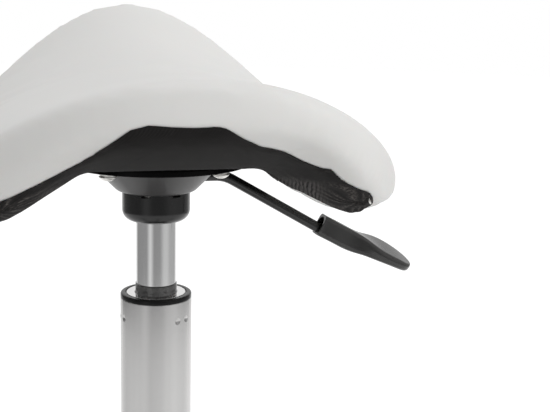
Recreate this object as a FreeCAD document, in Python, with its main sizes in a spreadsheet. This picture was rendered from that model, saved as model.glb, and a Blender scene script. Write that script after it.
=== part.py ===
import FreeCAD, Part
import math
import os
import re

import Sketcher

# Height-adjustable saddle stool: an upholstered saddle seat on a round steel plate, a gas-lift
# column with a release lever, and a five-star base on twin-wheel castors.
# Millimetres, +Z up. The origin is on the column's axis at floor level; the seat's front,
# its narrower end, faces -Y and the release lever points to +X.

SIZES = {
    # Heights and the column
    "seat_plate_height": 410.0,
    "running_clearance": 0.05,
    "seating_clearance": 0.3,
    "cut_overrun": 2.0,
    "cylinder_radius": 14.0,
    "cylinder_wall": 1.5,
    "cylinder_taper": 0.7,
    "cylinder_head": 8.0,
    "cylinder_top_drop": 22.5,
    "cylinder_guide_length": 22.0,
    "collar_drop": 93.0,
    "tube_radius": 25.0,
    "tube_wall": 2.0,
    "tube_bottom_height": 60.0,
    "tube_foot_radius": 24.0,
    "tube_floor": 4.0,
    "stake_drop": 13.0,
    "stake_radius": 3.6,
    "stake_depth": 0.8,
    "stake_angle": 28.0,
    "stake_pair_angle": 20.0,
    "bush_flange": 3.4,
    "bush_length": 60.0,
    "bush_rim_round": 1.2,
    "wiper_radius": 20.6,
    "wiper_thickness": 1.0,
    "wiper_groove": 1.0,
    "rod_radius": 5.0,
    "rod_neck_radius": 4.0,
    "rod_neck_gap": 0.4,
    "rod_foot_drop": 4.5,
    "clip_groove_depth": 0.9,
    "clip_radius": 7.5,
    "clip_thickness": 1.6,
    "piston_length": 18.0,
    "piston_head_gap": 8.0,
    "piston_groove": 1.6,
    "piston_land": 6.5,
    "race_radius": 12.0,
    "race_thickness": 2.0,
    "ball_radius": 1.6,
    "ball_circle_radius": 8.2,
    "ball_gap": 0.1,
    "cage_thickness": 1.4,
    "cage_width": 4.4,
    "bump_radius": 11.0,
    "bump_height": 10.0,
    "pin_radius": 3.0,
    "pin_tail": 2.0,
    # Seat plate and mechanism
    "plate_radius": 64.3,
    "plate_thickness": 4.5,
    "plate_round": 1.4,
    "screw_spacing": 75.0,
    "screw_radius": 3.0,
    "screw_hole_radius": 3.4,
    "screw_head_radius": 6.1,
    "screw_head_height": 3.2,
    "screw_length": 16.0,
    "recess_radius": 2.6,
    "recess_depth": 1.8,
    "washer_radius": 6.4,
    "washer_thickness": 1.4,
    "lock_washer_radius": 5.4,
    "lock_washer_thickness": 1.7,
    "lock_washer_split": 0.9,
    "nut_flange_radius": 9.5,
    "nut_flange_thickness": 1.5,
    "nut_barrel_radius": 4.2,
    "nut_barrel_length": 8.0,
    "dish_radius": 46.5,
    "dish_depth": 20.0,
    "dish_base_radius": 26.7,
    "dish_wall": 2.2,
    "dish_corner_round": 7.0,
    "socket_radius": 19.2,
    "socket_rise": 2.5,
    "socket_length": 22.5,
    "cap_radius": 23.5,
    "cap_length": 21.0,
    "cap_corner_round": 8.0,
    "cap_notch_width": 6.0,
    "cap_notch_height": 1.6,
    "cap_notch_angle": 26.0,
    # Release lever
    "lever_drop": 11.0,
    "lever_radius": 3.75,
    "lever_tail": 7.0,
    "lever_bend_reach": 48.5,
    "lever_bend_radius": 25.0,
    "lever_slope": 29.9,
    "lever_end_reach": 132.0,
    "lever_slot_width": 9.5,
    "lever_slot_rise": 4.4,
    "lever_slot_fall": 16.4,
    "pivot_reach": 24.0,
    "pivot_radius": 2.0,
    "pivot_length": 15.0,
    "ear_gap": 0.45,
    "ear_thickness": 2.0,
    "ear_width": 9.0,
    "ear_height": 14.5,
    "grip_start_reach": 119.6,
    "grip_start_drop": 48.6,
    "grip_socket_width": 14.0,
    "grip_socket_height": 15.5,
    "grip_corner_round": 3.6,
    "grip_mouth_radius": 6.0,
    "grip_mouth_depth": 9.0,
    "grip_width": 27.0,
    "grip_thickness": 6.6,
    "grip_roll": 15.0,
    "grip_slope": 28.6,
    "grip_length": 78.0,
    "grip_rise": 5.2,
    # Saddle seat: heights are above the seat plate's underside
    "seat_half_length": 163.6,
    "seat_centre_offset": 12.4,
    "seat_half_width": 168.7,
    "seat_pommel_height": 58.9,
    "seat_waist_height": 38.2,
    "seat_cantle_height": 90.8,
    "seat_waist_offset": 22.7,
    "seat_crown_span": 93.75,
    "pad_rise": 26.9,
    "pad_front_rise": 21.2,
    "pad_step_offset": 90.0,
    "pad_step_span": 40.0,
    "under_front_rise": 28.4,
    "under_rear_rise": 60.6,
    "under_flat_reach": 56.4,
    "flap_drop": 37.4,
    "flap_start": 50.0,
    "flap_span": 75.5,
    "cloth_thickness": 0.8,
    "cloth_gap": 0.1,
    "cloth_inset": 13.0,
    "board_thickness": 10.0,
    "board_inset": 21.0,
    "board_tool_depth": 75.0,
    # Five-star base
    "hub_radius": 30.0,
    "hub_foot_gap": 2.0,
    "hub_height": 56.0,
    "hub_mouth_round": 2.0,
    "castor_ring_radius": 265.0,
    "arm_root_half_width": 18.0,
    "arm_root_height": 40.0,
    "arm_root_lift": 8.0,
    "arm_tip_half_width": 15.0,
    "arm_tip_height": 24.0,
    "arm_draft": 2.0,
    "arm_wall": 2.0,
    "arm_edge_round": 5.0,
    "sleeve_radius": 9.0,
    "sleeve_top_gap": 0.6,
    # Castors
    "wheel_radius": 25.0,
    "wheel_width": 17.0,
    "wheel_side_gap": 0.6,
    "wheel_edge_round": 2.5,
    "wheel_rim": 4.0,
    "wheel_recess": 4.5,
    "wheel_hub_radius": 8.0,
    "castor_trail": 20.0,
    "castor_web": 8.0,
    "hood_gap": 0.9,
    "hood_wall": 2.6,
    "hood_skirt_height": 26.0,
    "hood_side_margin": 0.8,
    "axle_disc_radius": 11.0,
    "axle_radius": 3.0,
    "boss_radius": 10.0,
    "boss_gap": 1.0,
    "boss_foot_height": 49.5,
    "stem_radius": 5.5,
    "stem_collar_radius": 8.0,
    "stem_collar_thickness": 0.7,
    "stem_groove_depth": 0.6,
    "stem_groove_length": 4.0,
    "stem_top_gap": 2.5,
    "stem_point": 1.2,
}

# Shares that shape the saddle: exponents and slopes of its outline and of its cross sections.
OUTLINE_LENGTH_SHARE = 2.82
OUTLINE_WIDTH_SHARE = 0.42
WIDENING_SHARE = 0.167
WIDENING_CENTRE_SHARE = 0.2
FRONT_SLOPE_SHARE = 0.38
WAIST_SLOPE_SHARE = 0.636
REAR_SLOPE_SHARE = 1.10
SIDE_ROUND_SHARE = 0.641
RIM_ROUND_SHARE = 0.541
END_ROUND_SHARE = 0.35
UNDERSIDE_RISE_SHARE = 1.5
RIM_SHARE = 0.83
FLAP_SHARES = (0.74, 0.52, 0.41, 0.30)

# How near two places count as one, and how little an arc may bow to count as straight.
SAME_PLACE = 1e-5
STRAIGHT_BOW = 1e-4

CONE_WALL_SHARE = 1.42
ARM_COUNT = 5
BALL_COUNT = 6
STAKE_COUNT = 3
# Places of the sections along the seat, of the points round a section and of those in plan.
SECTION_ANGLES = (-88, -80, -68, -54, -38, -20, 0, 20, 38, 54, 68, 80, 88)
CROWN_TURNS = (0, 15, 30, 45, 60)
RIM_TURNS = (15, 30)
PLAN_TURNS = tuple(range(-90, 91, 15))
CASTOR_TURNS = (24.0, -38.0, 62.0, -15.0, 47.0)
FULLEST_ROUND_SHARE = 0.96
# Along the paddle: place, width gained, height lost, rise and roll, as shares of their sizes.
GRIP_SHARES = (
    (0.0, 0.0, 0.0, 0.0, 0.0),
    (0.12, 0.0, 0.0, 0.0, 0.0),
    (0.26, 0.0, 0.0, 0.0, 0.0),
    (0.39, 0.12, 0.10, 0.10, 0.20),
    (0.50, 0.60, 0.40, 0.42, 0.70),
    (0.62, 1.0, 0.70, 0.66, 1.0),
    (0.80, 1.0, 0.90, 0.78, 1.0),
    (0.93, 0.50, 1.0, 0.72, 1.0),
    (1.0, -0.45, 1.12, 0.70, 1.0),
)

doc = FreeCAD.newDocument("SaddleStool")
sheet = doc.addObject("Spreadsheet::Sheet", "Sizes")
for row, (alias, number) in enumerate(SIZES.items(), start=1):
    sheet.set(f"A{row}", alias.replace("_", " "))
    sheet.set(f"B{row}", str(number))
    sheet.setAlias(f"B{row}", alias)
doc.recompute()

PARTS = []


def size(alias):
    """The number that the sheet holds under an alias."""
    return float(sheet.get(alias))


def formula(text):
    """An expression on the sheet, from one written with the bare aliases."""
    def point_at_sheet(found):
        word = found.group(0)
        return f"Sizes.{word}" if word in SIZES else word

    return re.sub(r"[a-z][a-z_]*", point_at_sheet, text)


def bind(feature, **properties):
    """Bind properties of a feature to expressions on the sheet."""
    for name, text in properties.items():
        feature.setExpression(name, formula(text))


def keep(obj, label):
    """List an object as a sub-part under its node name."""
    obj.Label = label
    PARTS.append(obj)
    return obj


def new_body(label):
    """An empty body that is a sub-part."""
    return keep(doc.addObject("PartDesign::Body", label), label)


def new_sketch(body, name, plane="XZ_Plane", lift=None):
    """A sketch on one of the body's own origin planes, lifted along its normal where asked."""
    sketch = body.newObject("Sketcher::SketchObject", f"{body.Name}_{name}")
    origin_plane = next(item for item in body.Origin.OriginFeatures if item.Role == plane)
    sketch.AttachmentSupport = [(origin_plane, "")]
    sketch.MapMode = "FlatFace"
    if lift is not None:
        sketch.setExpression("AttachmentOffset.Base.z", formula(lift))
    return sketch


def pin_point(sketch, geometry, vertex, across, up):
    """Hold one vertex at a place given by two expressions."""
    for kind, text in (("DistanceX", across), ("DistanceY", up)):
        number = sketch.addConstraint(Sketcher.Constraint(kind, -1, 1, geometry, vertex, 0.0))
        if text != "0":
            sketch.setExpression(f"Constraints[{number}]", formula(text))


def draw_polygon(sketch, corners):
    """A closed outline of straight edges whose corners are pairs of expressions."""
    count = len(corners)
    turn = 2 * math.pi / count
    spots = [FreeCAD.Vector(math.cos(turn * i), math.sin(turn * i), 0) for i in range(count)]
    first = sketch.GeometryCount
    for i in range(count):
        sketch.addGeometry(Part.LineSegment(spots[i], spots[(i + 1) % count]), False)
    for i in range(count):
        following = (i + 1) % count
        joint = Sketcher.Constraint("Coincident", first + i, 2, first + following, 1)
        sketch.addConstraint(joint)
    for i, (across, up) in enumerate(corners):
        pin_point(sketch, first + i, 1, across, up)


def draw_circle(sketch, radius, across="0", up="0"):
    """A circle whose radius and centre are expressions."""
    circle = Part.Circle(FreeCAD.Vector(0, 0, 0), FreeCAD.Vector(0, 0, 1), 1)
    geometry = sketch.addGeometry(circle, False)
    number = sketch.addConstraint(Sketcher.Constraint("Radius", geometry, 1.0))
    sketch.setExpression(f"Constraints[{number}]", formula(radius))
    pin_point(sketch, geometry, 3, across, up)


def revolve(body, corners, name="profile", plane="XZ_Plane", axis="V_Axis"):
    """Turn an outline, radius and height pairs, about the body's upright axis."""
    sketch = new_sketch(body, name, plane)
    draw_polygon(sketch, corners)
    turned = body.newObject("PartDesign::Revolution", f"{body.Name}_{name}_turn")
    turned.Profile = sketch
    turned.ReferenceAxis = (sketch, [axis])
    doc.recompute()
    return turned


def turned_part(label, corners):
    """A sub-part that is one turned outline about the column's axis."""
    body = new_body(label)
    revolve(body, corners)
    return body


def pad(body, sketch, length, both_ways=False, backwards=False):
    """Pad a sketch by an expression, to one side or to both."""
    feature = body.newObject("PartDesign::Pad", f"{sketch.Name}_pad")
    feature.Profile = sketch
    feature.Midplane = both_ways
    feature.Reversed = backwards
    bind(feature, Length=length)
    doc.recompute()
    return feature


def pocket(body, sketch, length, both_ways=False, backwards=False):
    """Cut a sketch into the body and make sure that it took something away."""
    before = body.Shape.Volume
    feature = body.newObject("PartDesign::Pocket", f"{sketch.Name}_cut")
    feature.Profile = sketch
    feature.Midplane = both_ways
    feature.Reversed = backwards
    bind(feature, Length=length)
    doc.recompute()
    if not body.Shape.Volume < before:
        raise RuntimeError(f"{feature.Name} cuts nothing")
    return feature


def round_edges(body, radius, wanted):
    """Fillet the edges of the body's tip that a test picks out."""
    base = body.Tip
    names = [f"Edge{i}" for i, edge in enumerate(base.Shape.Edges, start=1) if wanted(edge)]
    if not names:
        raise RuntimeError(f"{body.Label} has no edge to round")
    fillet = body.newObject("PartDesign::Fillet", f"{body.Name}_round_{len(body.Group)}")
    fillet.Base = (base, names)
    bind(fillet, Radius=radius)
    doc.recompute()
    if "Invalid" in fillet.State:
        raise RuntimeError(f"{fillet.Name} failed")
    return fillet


def is_ring(edge, radius, height):
    """Whether an edge is a circle about the column's axis of this radius at this height."""
    curve = edge.Curve
    if not isinstance(curve, Part.Circle):
        return False
    nearness = FreeCAD.Vector(curve.Center.x, curve.Center.y, curve.Center.z - height).Length
    return nearness < SAME_PLACE and abs(curve.Radius - radius) < SAME_PLACE


# Heights on the column, the base and the castors, as expressions.
HUB_BOTTOM = "(tube_bottom_height + hub_foot_gap)"
HUB_TOP = f"({HUB_BOTTOM} + hub_height)"
BOSS_TOP = f"({HUB_BOTTOM} - boss_gap)"
BOSS_DEPTH = f"({BOSS_TOP} - boss_foot_height)"
TUBE_TOP = "(seat_plate_height - collar_drop - bush_flange)"
RACE_BASE = "(tube_bottom_height + tube_floor)"
BALL_BASE = f"({RACE_BASE} + race_thickness)"
UPPER_RACE = f"({BALL_BASE} + 2 * ball_radius + ball_gap)"
ROD_SHOULDER = f"({UPPER_RACE} + race_thickness)"
CYLINDER_FOOT = f"({ROD_SHOULDER} + bump_height + seating_clearance)"
CYLINDER_TOP = "(seat_plate_height - cylinder_top_drop)"
CHAMBER_TOP = f"({CYLINDER_TOP} - cylinder_head)"
PISTON_TOP = f"({CHAMBER_TOP} - piston_head_gap)"
PISTON_GROOVE_LOW = f"({PISTON_TOP} - piston_length + piston_land)"
PISTON_GROOVE_TOP = f"({PISTON_TOP} - piston_land)"
CYLINDER_BORE = "(cylinder_radius - cylinder_wall)"
LEVER_HEIGHT = "(seat_plate_height - lever_drop)"
PIN_TOP = f"({LEVER_HEIGHT} - lever_radius - seating_clearance)"
DISH_BOTTOM = "(seat_plate_height - dish_depth)"
CAP_TOP = f"({DISH_BOTTOM} - running_clearance)"
CAP_BOTTOM = f"({CAP_TOP} - cap_length)"
SOCKET_TOP = f"({DISH_BOTTOM} + socket_rise)"
SOCKET_BOTTOM = f"({SOCKET_TOP} - socket_length)"


def make_outer_tube():
    """The steel stand tube, tapered to its seat in the hub, with a closed floor."""
    body = new_body("outer_tube")
    revolve(body, [
        ("rod_neck_radius + rod_neck_gap", "tube_bottom_height"),
        ("tube_foot_radius", "tube_bottom_height"),
        ("tube_radius", HUB_TOP),
        ("tube_radius", TUBE_TOP),
        ("tube_radius - tube_wall", TUBE_TOP),
        ("tube_radius - tube_wall", HUB_TOP),
        ("tube_foot_radius - tube_wall", RACE_BASE),
        ("rod_neck_radius + rod_neck_gap", RACE_BASE),
    ])
    return body


def make_stake_marks(tube):
    """Pairs of shallow stake marks round the tube that hold the bush in it."""
    height = size("seat_plate_height") - size("collar_drop") - size("bush_flange")
    height -= size("stake_drop")
    reach = size("tube_radius") - size("stake_depth") + size("stake_radius")
    marks = []
    for step in range(STAKE_COUNT):
        for offset in (0.0, size("stake_pair_angle")):
            angle = math.radians(360.0 / STAKE_COUNT * step - 90.0 + size("stake_angle") + offset)
            centre = FreeCAD.Vector(reach * math.cos(angle), reach * math.sin(angle), height)
            marks.append(Part.makeSphere(size("stake_radius"), centre))
    marked = doc.addObject("Part::Feature", "staked_tube")
    marked.Shape = tube.Shape.cut(Part.makeCompound(marks))
    marked.Placement = FreeCAD.Placement()
    PARTS.remove(tube)
    tube.Label = "plain_tube"
    return keep(marked, "outer_tube")


def make_column():
    """The gas-lift column, from its outer tube to the release pin at its top."""
    make_stake_marks(make_outer_tube())
    bush = turned_part("guide_bush", [
        ("cylinder_radius + running_clearance", f"{TUBE_TOP} - bush_length"),
        ("tube_radius - tube_wall", f"{TUBE_TOP} - bush_length"),
        ("tube_radius - tube_wall", TUBE_TOP),
        ("tube_radius", TUBE_TOP),
        ("tube_radius", f"{TUBE_TOP} + bush_flange"),
        ("wiper_radius + wiper_groove", f"{TUBE_TOP} + bush_flange"),
        ("wiper_radius + wiper_groove", f"{TUBE_TOP} + bush_flange - wiper_thickness"),
        ("cylinder_radius + running_clearance", f"{TUBE_TOP} + bush_flange - wiper_thickness"),
    ])
    collar_top = size("seat_plate_height") - size("collar_drop")
    round_edges(bush, "bush_rim_round",
                lambda edge: is_ring(edge, size("tube_radius"), collar_top))
    turned_part("wiper_ring", ring_corners(
        "cylinder_radius + running_clearance", "wiper_radius",
        f"{TUBE_TOP} + bush_flange - wiper_thickness", "wiper_thickness"))
    turned_part("bearing_lower_race", ring_corners(
        "rod_neck_radius + rod_neck_gap", "race_radius", RACE_BASE, "race_thickness"))
    turned_part("bearing_upper_race", ring_corners(
        "rod_neck_radius + running_clearance", "race_radius", UPPER_RACE, "race_thickness"))
    make_ball_cage()
    turned_part("retaining_clip", ring_corners(
        "rod_neck_radius - clip_groove_depth", "clip_radius",
        "tube_bottom_height - seating_clearance - clip_thickness", "clip_thickness"))
    turned_part("bump_stop", ring_corners(
        "rod_radius + running_clearance", "bump_radius", ROD_SHOULDER, "bump_height"))
    clip_top = "(tube_bottom_height - seating_clearance)"
    turned_part("piston_rod", [
        ("0", "tube_bottom_height - rod_foot_drop"),
        ("rod_neck_radius", "tube_bottom_height - rod_foot_drop"),
        ("rod_neck_radius", f"{clip_top} - clip_thickness"),
        ("rod_neck_radius - clip_groove_depth", f"{clip_top} - clip_thickness"),
        ("rod_neck_radius - clip_groove_depth", clip_top),
        ("rod_neck_radius", clip_top),
        ("rod_neck_radius", ROD_SHOULDER),
        ("rod_radius", ROD_SHOULDER),
        ("rod_radius", PISTON_TOP),
        ("0", PISTON_TOP),
    ])
    turned_part("piston", [
        ("rod_radius", f"{PISTON_TOP} - piston_length"),
        (f"{CYLINDER_BORE} - running_clearance", f"{PISTON_TOP} - piston_length"),
        (f"{CYLINDER_BORE} - running_clearance", PISTON_GROOVE_LOW),
        (f"{CYLINDER_BORE} - piston_groove", PISTON_GROOVE_LOW),
        (f"{CYLINDER_BORE} - piston_groove", PISTON_GROOVE_TOP),
        (f"{CYLINDER_BORE} - running_clearance", PISTON_GROOVE_TOP),
        (f"{CYLINDER_BORE} - running_clearance", PISTON_TOP),
        ("rod_radius", PISTON_TOP),
    ])
    turned_part("gas_cylinder", [
        (CYLINDER_BORE, CYLINDER_FOOT),
        ("cylinder_radius", CYLINDER_FOOT),
        ("cylinder_radius", SOCKET_BOTTOM),
        ("cylinder_radius - cylinder_taper", CYLINDER_TOP),
        ("pin_radius + running_clearance", CYLINDER_TOP),
        ("pin_radius + running_clearance", CHAMBER_TOP),
        (CYLINDER_BORE, CHAMBER_TOP),
    ])
    turned_part("cylinder_guide", ring_corners(
        "rod_radius + running_clearance", CYLINDER_BORE, CYLINDER_FOOT, "cylinder_guide_length"))
    turned_part("release_pin", [
        ("0", f"{CHAMBER_TOP} - pin_tail"),
        ("pin_radius", f"{CHAMBER_TOP} - pin_tail"),
        ("pin_radius", PIN_TOP),
        ("0", PIN_TOP),
    ])


def ring_corners(inner, outer, bottom, height):
    """The rectangle that turns into a plain ring."""
    return [
        (inner, bottom),
        (outer, bottom),
        (outer, f"{bottom} + {height}"),
        (inner, f"{bottom} + {height}"),
    ]


def make_ball_cage():
    """The thrust bearing's cage with its balls."""
    middle = f"({BALL_BASE} + ball_radius)"
    ring = doc.addObject("Part::Cylinder", "cage_ring")
    bind(ring, Radius="ball_circle_radius + cage_width / 2", Height="cage_thickness")
    ring.setExpression("Placement.Base.z", formula(f"{middle} - cage_thickness / 2"))
    bore = doc.addObject("Part::Cylinder", "cage_bore")
    bind(bore, Radius="ball_circle_radius - cage_width / 2",
         Height="cage_thickness + 2 * cut_overrun")
    bore.setExpression("Placement.Base.z",
                       formula(f"{middle} - cage_thickness / 2 - cut_overrun"))
    open_ring = doc.addObject("Part::Cut", "cage_open_ring")
    open_ring.Base = ring
    open_ring.Tool = bore
    balls = []
    for number in range(BALL_COUNT):
        ball = doc.addObject("Part::Sphere", f"cage_ball_{number + 1}")
        bind(ball, Radius="ball_radius")
        angle = 360.0 / BALL_COUNT * number
        ball.setExpression("Placement.Base.x", formula(f"ball_circle_radius * cos({angle})"))
        ball.setExpression("Placement.Base.y", formula(f"ball_circle_radius * sin({angle})"))
        ball.setExpression("Placement.Base.z", formula(middle))
        balls.append(ball)
    cage = doc.addObject("Part::MultiFuse", "bearing_cage")
    cage.Shapes = [open_ring] + balls
    keep(cage, "bearing_cage")


def make_seat_plate():
    """The round steel plate under the seat, with four screw holes and a rounded rim."""
    body = new_body("seat_plate")
    outline = new_sketch(body, "disc", "XY_Plane", "seat_plate_height")
    draw_circle(outline, "plate_radius")
    pad(body, outline, "plate_thickness")
    top = size("seat_plate_height") + size("plate_thickness")
    round_edges(body, "plate_round", lambda edge: is_ring(edge, size("plate_radius"), top))
    holes = new_sketch(body, "holes", "XY_Plane", "seat_plate_height - cut_overrun")
    for across, up in screw_places():
        draw_circle(holes, "screw_hole_radius", across, up)
    pocket(body, holes, "plate_thickness + 2 * cut_overrun", backwards=True)


def screw_places():
    """The four screw places, as expressions across and forward."""
    signs = ("", "-")
    return [
        (f"{left}screw_spacing / 2", f"{front}screw_spacing / 2")
        for left in signs for front in signs
    ]


def screw_centres():
    """The four screw places as numbers."""
    half = size("screw_spacing") / 2
    return [(across, up) for across in (-half, half) for up in (-half, half)]


def stacked_rounds(steps):
    """One solid of stacked coaxial cylinders about Z: (radius, bottom, height) steps."""
    solids = [
        Part.makeCylinder(radius, height, FreeCAD.Vector(0, 0, bottom))
        for radius, bottom, height in steps
    ]
    whole = solids[0]
    for solid in solids[1:]:
        whole = whole.fuse(solid)
    return whole.removeSplitter()


def copies_at_screws(label, solid):
    """A node of four equal fasteners, one at each screw place."""
    pieces = []
    for across, up in screw_centres():
        piece = solid.copy()
        piece.translate(FreeCAD.Vector(across, up, 0))
        pieces.append(piece)
    feature = doc.addObject("Part::Feature", label)
    feature.Shape = Part.makeCompound(pieces)
    feature.Placement = FreeCAD.Placement()
    return keep(feature, label)


def make_fasteners():
    """Screws, washers and the board's tee nuts."""
    plate = size("seat_plate_height")
    flat = size("washer_thickness")
    lock = size("lock_washer_thickness")
    head_top = plate - flat - lock
    head = size("screw_head_height")
    dome = Part.makeSphere(
        (size("screw_head_radius") ** 2 + head ** 2) / (2 * head),
        FreeCAD.Vector(
            0, 0, head_top - head + (size("screw_head_radius") ** 2 + head ** 2) / (2 * head)),
    )
    button = Part.makeCylinder(size("screw_head_radius"), head,
                               FreeCAD.Vector(0, 0, head_top - head)).common(dome)
    shank = Part.makeCylinder(size("screw_radius"), size("screw_length"),
                              FreeCAD.Vector(0, 0, head_top))
    recess = Part.makeCylinder(size("recess_radius"), size("recess_depth"),
                               FreeCAD.Vector(0, 0, head_top - head))
    copies_at_screws("mounting_screws", button.fuse(shank).cut(recess).removeSplitter())

    bore_radius = size("screw_radius") + size("running_clearance")
    bore = Part.makeCylinder(bore_radius, flat + lock + 2 * size("cut_overrun"),
                             FreeCAD.Vector(0, 0, head_top - size("cut_overrun")))
    lock_ring = Part.makeCylinder(size("lock_washer_radius"), lock,
                                  FreeCAD.Vector(0, 0, head_top))
    split = Part.makeBox(size("lock_washer_radius") + size("cut_overrun"),
                         size("lock_washer_split"), lock,
                         FreeCAD.Vector(0, -size("lock_washer_split") / 2, head_top))
    flat_ring = Part.makeCylinder(size("washer_radius"), flat,
                                  FreeCAD.Vector(0, 0, head_top + lock))
    copies_at_screws("screw_washers", lock_ring.cut(split).fuse(flat_ring).cut(bore))

    board_bottom = plate + size("plate_thickness") + 2 * size("cloth_gap") + size("cloth_thickness")
    board_top = board_bottom + size("board_thickness")
    flange = size("nut_flange_thickness")
    barrel = size("nut_barrel_length")
    nut = stacked_rounds([
        (size("nut_flange_radius"), board_top, flange),
        (size("nut_barrel_radius"), board_top - barrel, barrel + flange / 2),
    ])
    thread = Part.makeCylinder(bore_radius, barrel + flange + 2 * size("cut_overrun"),
                               FreeCAD.Vector(0, 0, board_top - barrel - size("cut_overrun")))
    copies_at_screws("tee_nuts", nut.cut(thread))


def make_mechanism():
    """The dish under the plate, the tapered socket in it and the plastic cap round it."""
    dish = new_body("dish_housing")
    revolve(dish, [
        ("socket_radius + running_clearance", DISH_BOTTOM),
        ("dish_base_radius", DISH_BOTTOM),
        ("dish_radius", "seat_plate_height"),
        (f"dish_radius - {CONE_WALL_SHARE} * dish_wall", "seat_plate_height"),
        (f"dish_base_radius - {CONE_WALL_SHARE - 1} * dish_wall", f"{DISH_BOTTOM} + dish_wall"),
        ("socket_radius + running_clearance", f"{DISH_BOTTOM} + dish_wall"),
    ])
    bottom = size("seat_plate_height") - size("dish_depth")
    round_edges(dish, "dish_corner_round",
                lambda edge: is_ring(edge, size("dish_base_radius"), bottom))
    slot = new_sketch(dish, "slot", "YZ_Plane")
    half = "lever_slot_width / 2"
    rise = "seat_plate_height - lever_slot_rise"
    fall = "seat_plate_height - lever_slot_fall"
    draw_polygon(slot, [(f"-{half}", fall), (half, fall), (half, rise), (f"-{half}", rise)])
    pocket(dish, slot, "dish_radius + cut_overrun", backwards=True)

    turned_part("taper_socket", [
        ("cylinder_radius + running_clearance", SOCKET_BOTTOM),
        ("socket_radius", SOCKET_BOTTOM),
        ("socket_radius", SOCKET_TOP),
        (f"cylinder_radius + running_clearance - cylinder_taper * socket_length"
         f" / ({CYLINDER_TOP} - {SOCKET_BOTTOM})", SOCKET_TOP),
    ])

    cap = new_body("column_cap")
    revolve(cap, [
        ("cylinder_radius + 2 * seating_clearance", CAP_BOTTOM),
        ("cap_radius", CAP_BOTTOM),
        ("cap_radius", CAP_TOP),
        ("socket_radius + running_clearance", CAP_TOP),
        ("socket_radius + running_clearance", f"{SOCKET_BOTTOM} - running_clearance"),
        ("cylinder_radius + 2 * seating_clearance", f"{SOCKET_BOTTOM} - running_clearance"),
    ])
    bottom = (size("seat_plate_height") - size("dish_depth") - size("running_clearance")
              - size("cap_length"))
    round_edges(cap, "cap_corner_round", lambda edge: is_ring(edge, size("cap_radius"), bottom))
    for side in (-1, 1):
        notch = new_sketch(cap, f"notch_{'left' if side < 0 else 'right'}", "XZ_Plane")
        middle = f"({side} * cap_radius * sin(cap_notch_angle))"
        left, right = f"{middle} - cap_notch_width / 2", f"{middle} + cap_notch_width / 2"
        low, high = f"{CAP_TOP} - cap_notch_height", f"{CAP_TOP} + cut_overrun"
        draw_polygon(notch, [(left, low), (right, low), (right, high), (left, high)])
        pocket(cap, notch, "2 * (cap_radius + cut_overrun)", both_ways=True)


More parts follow.
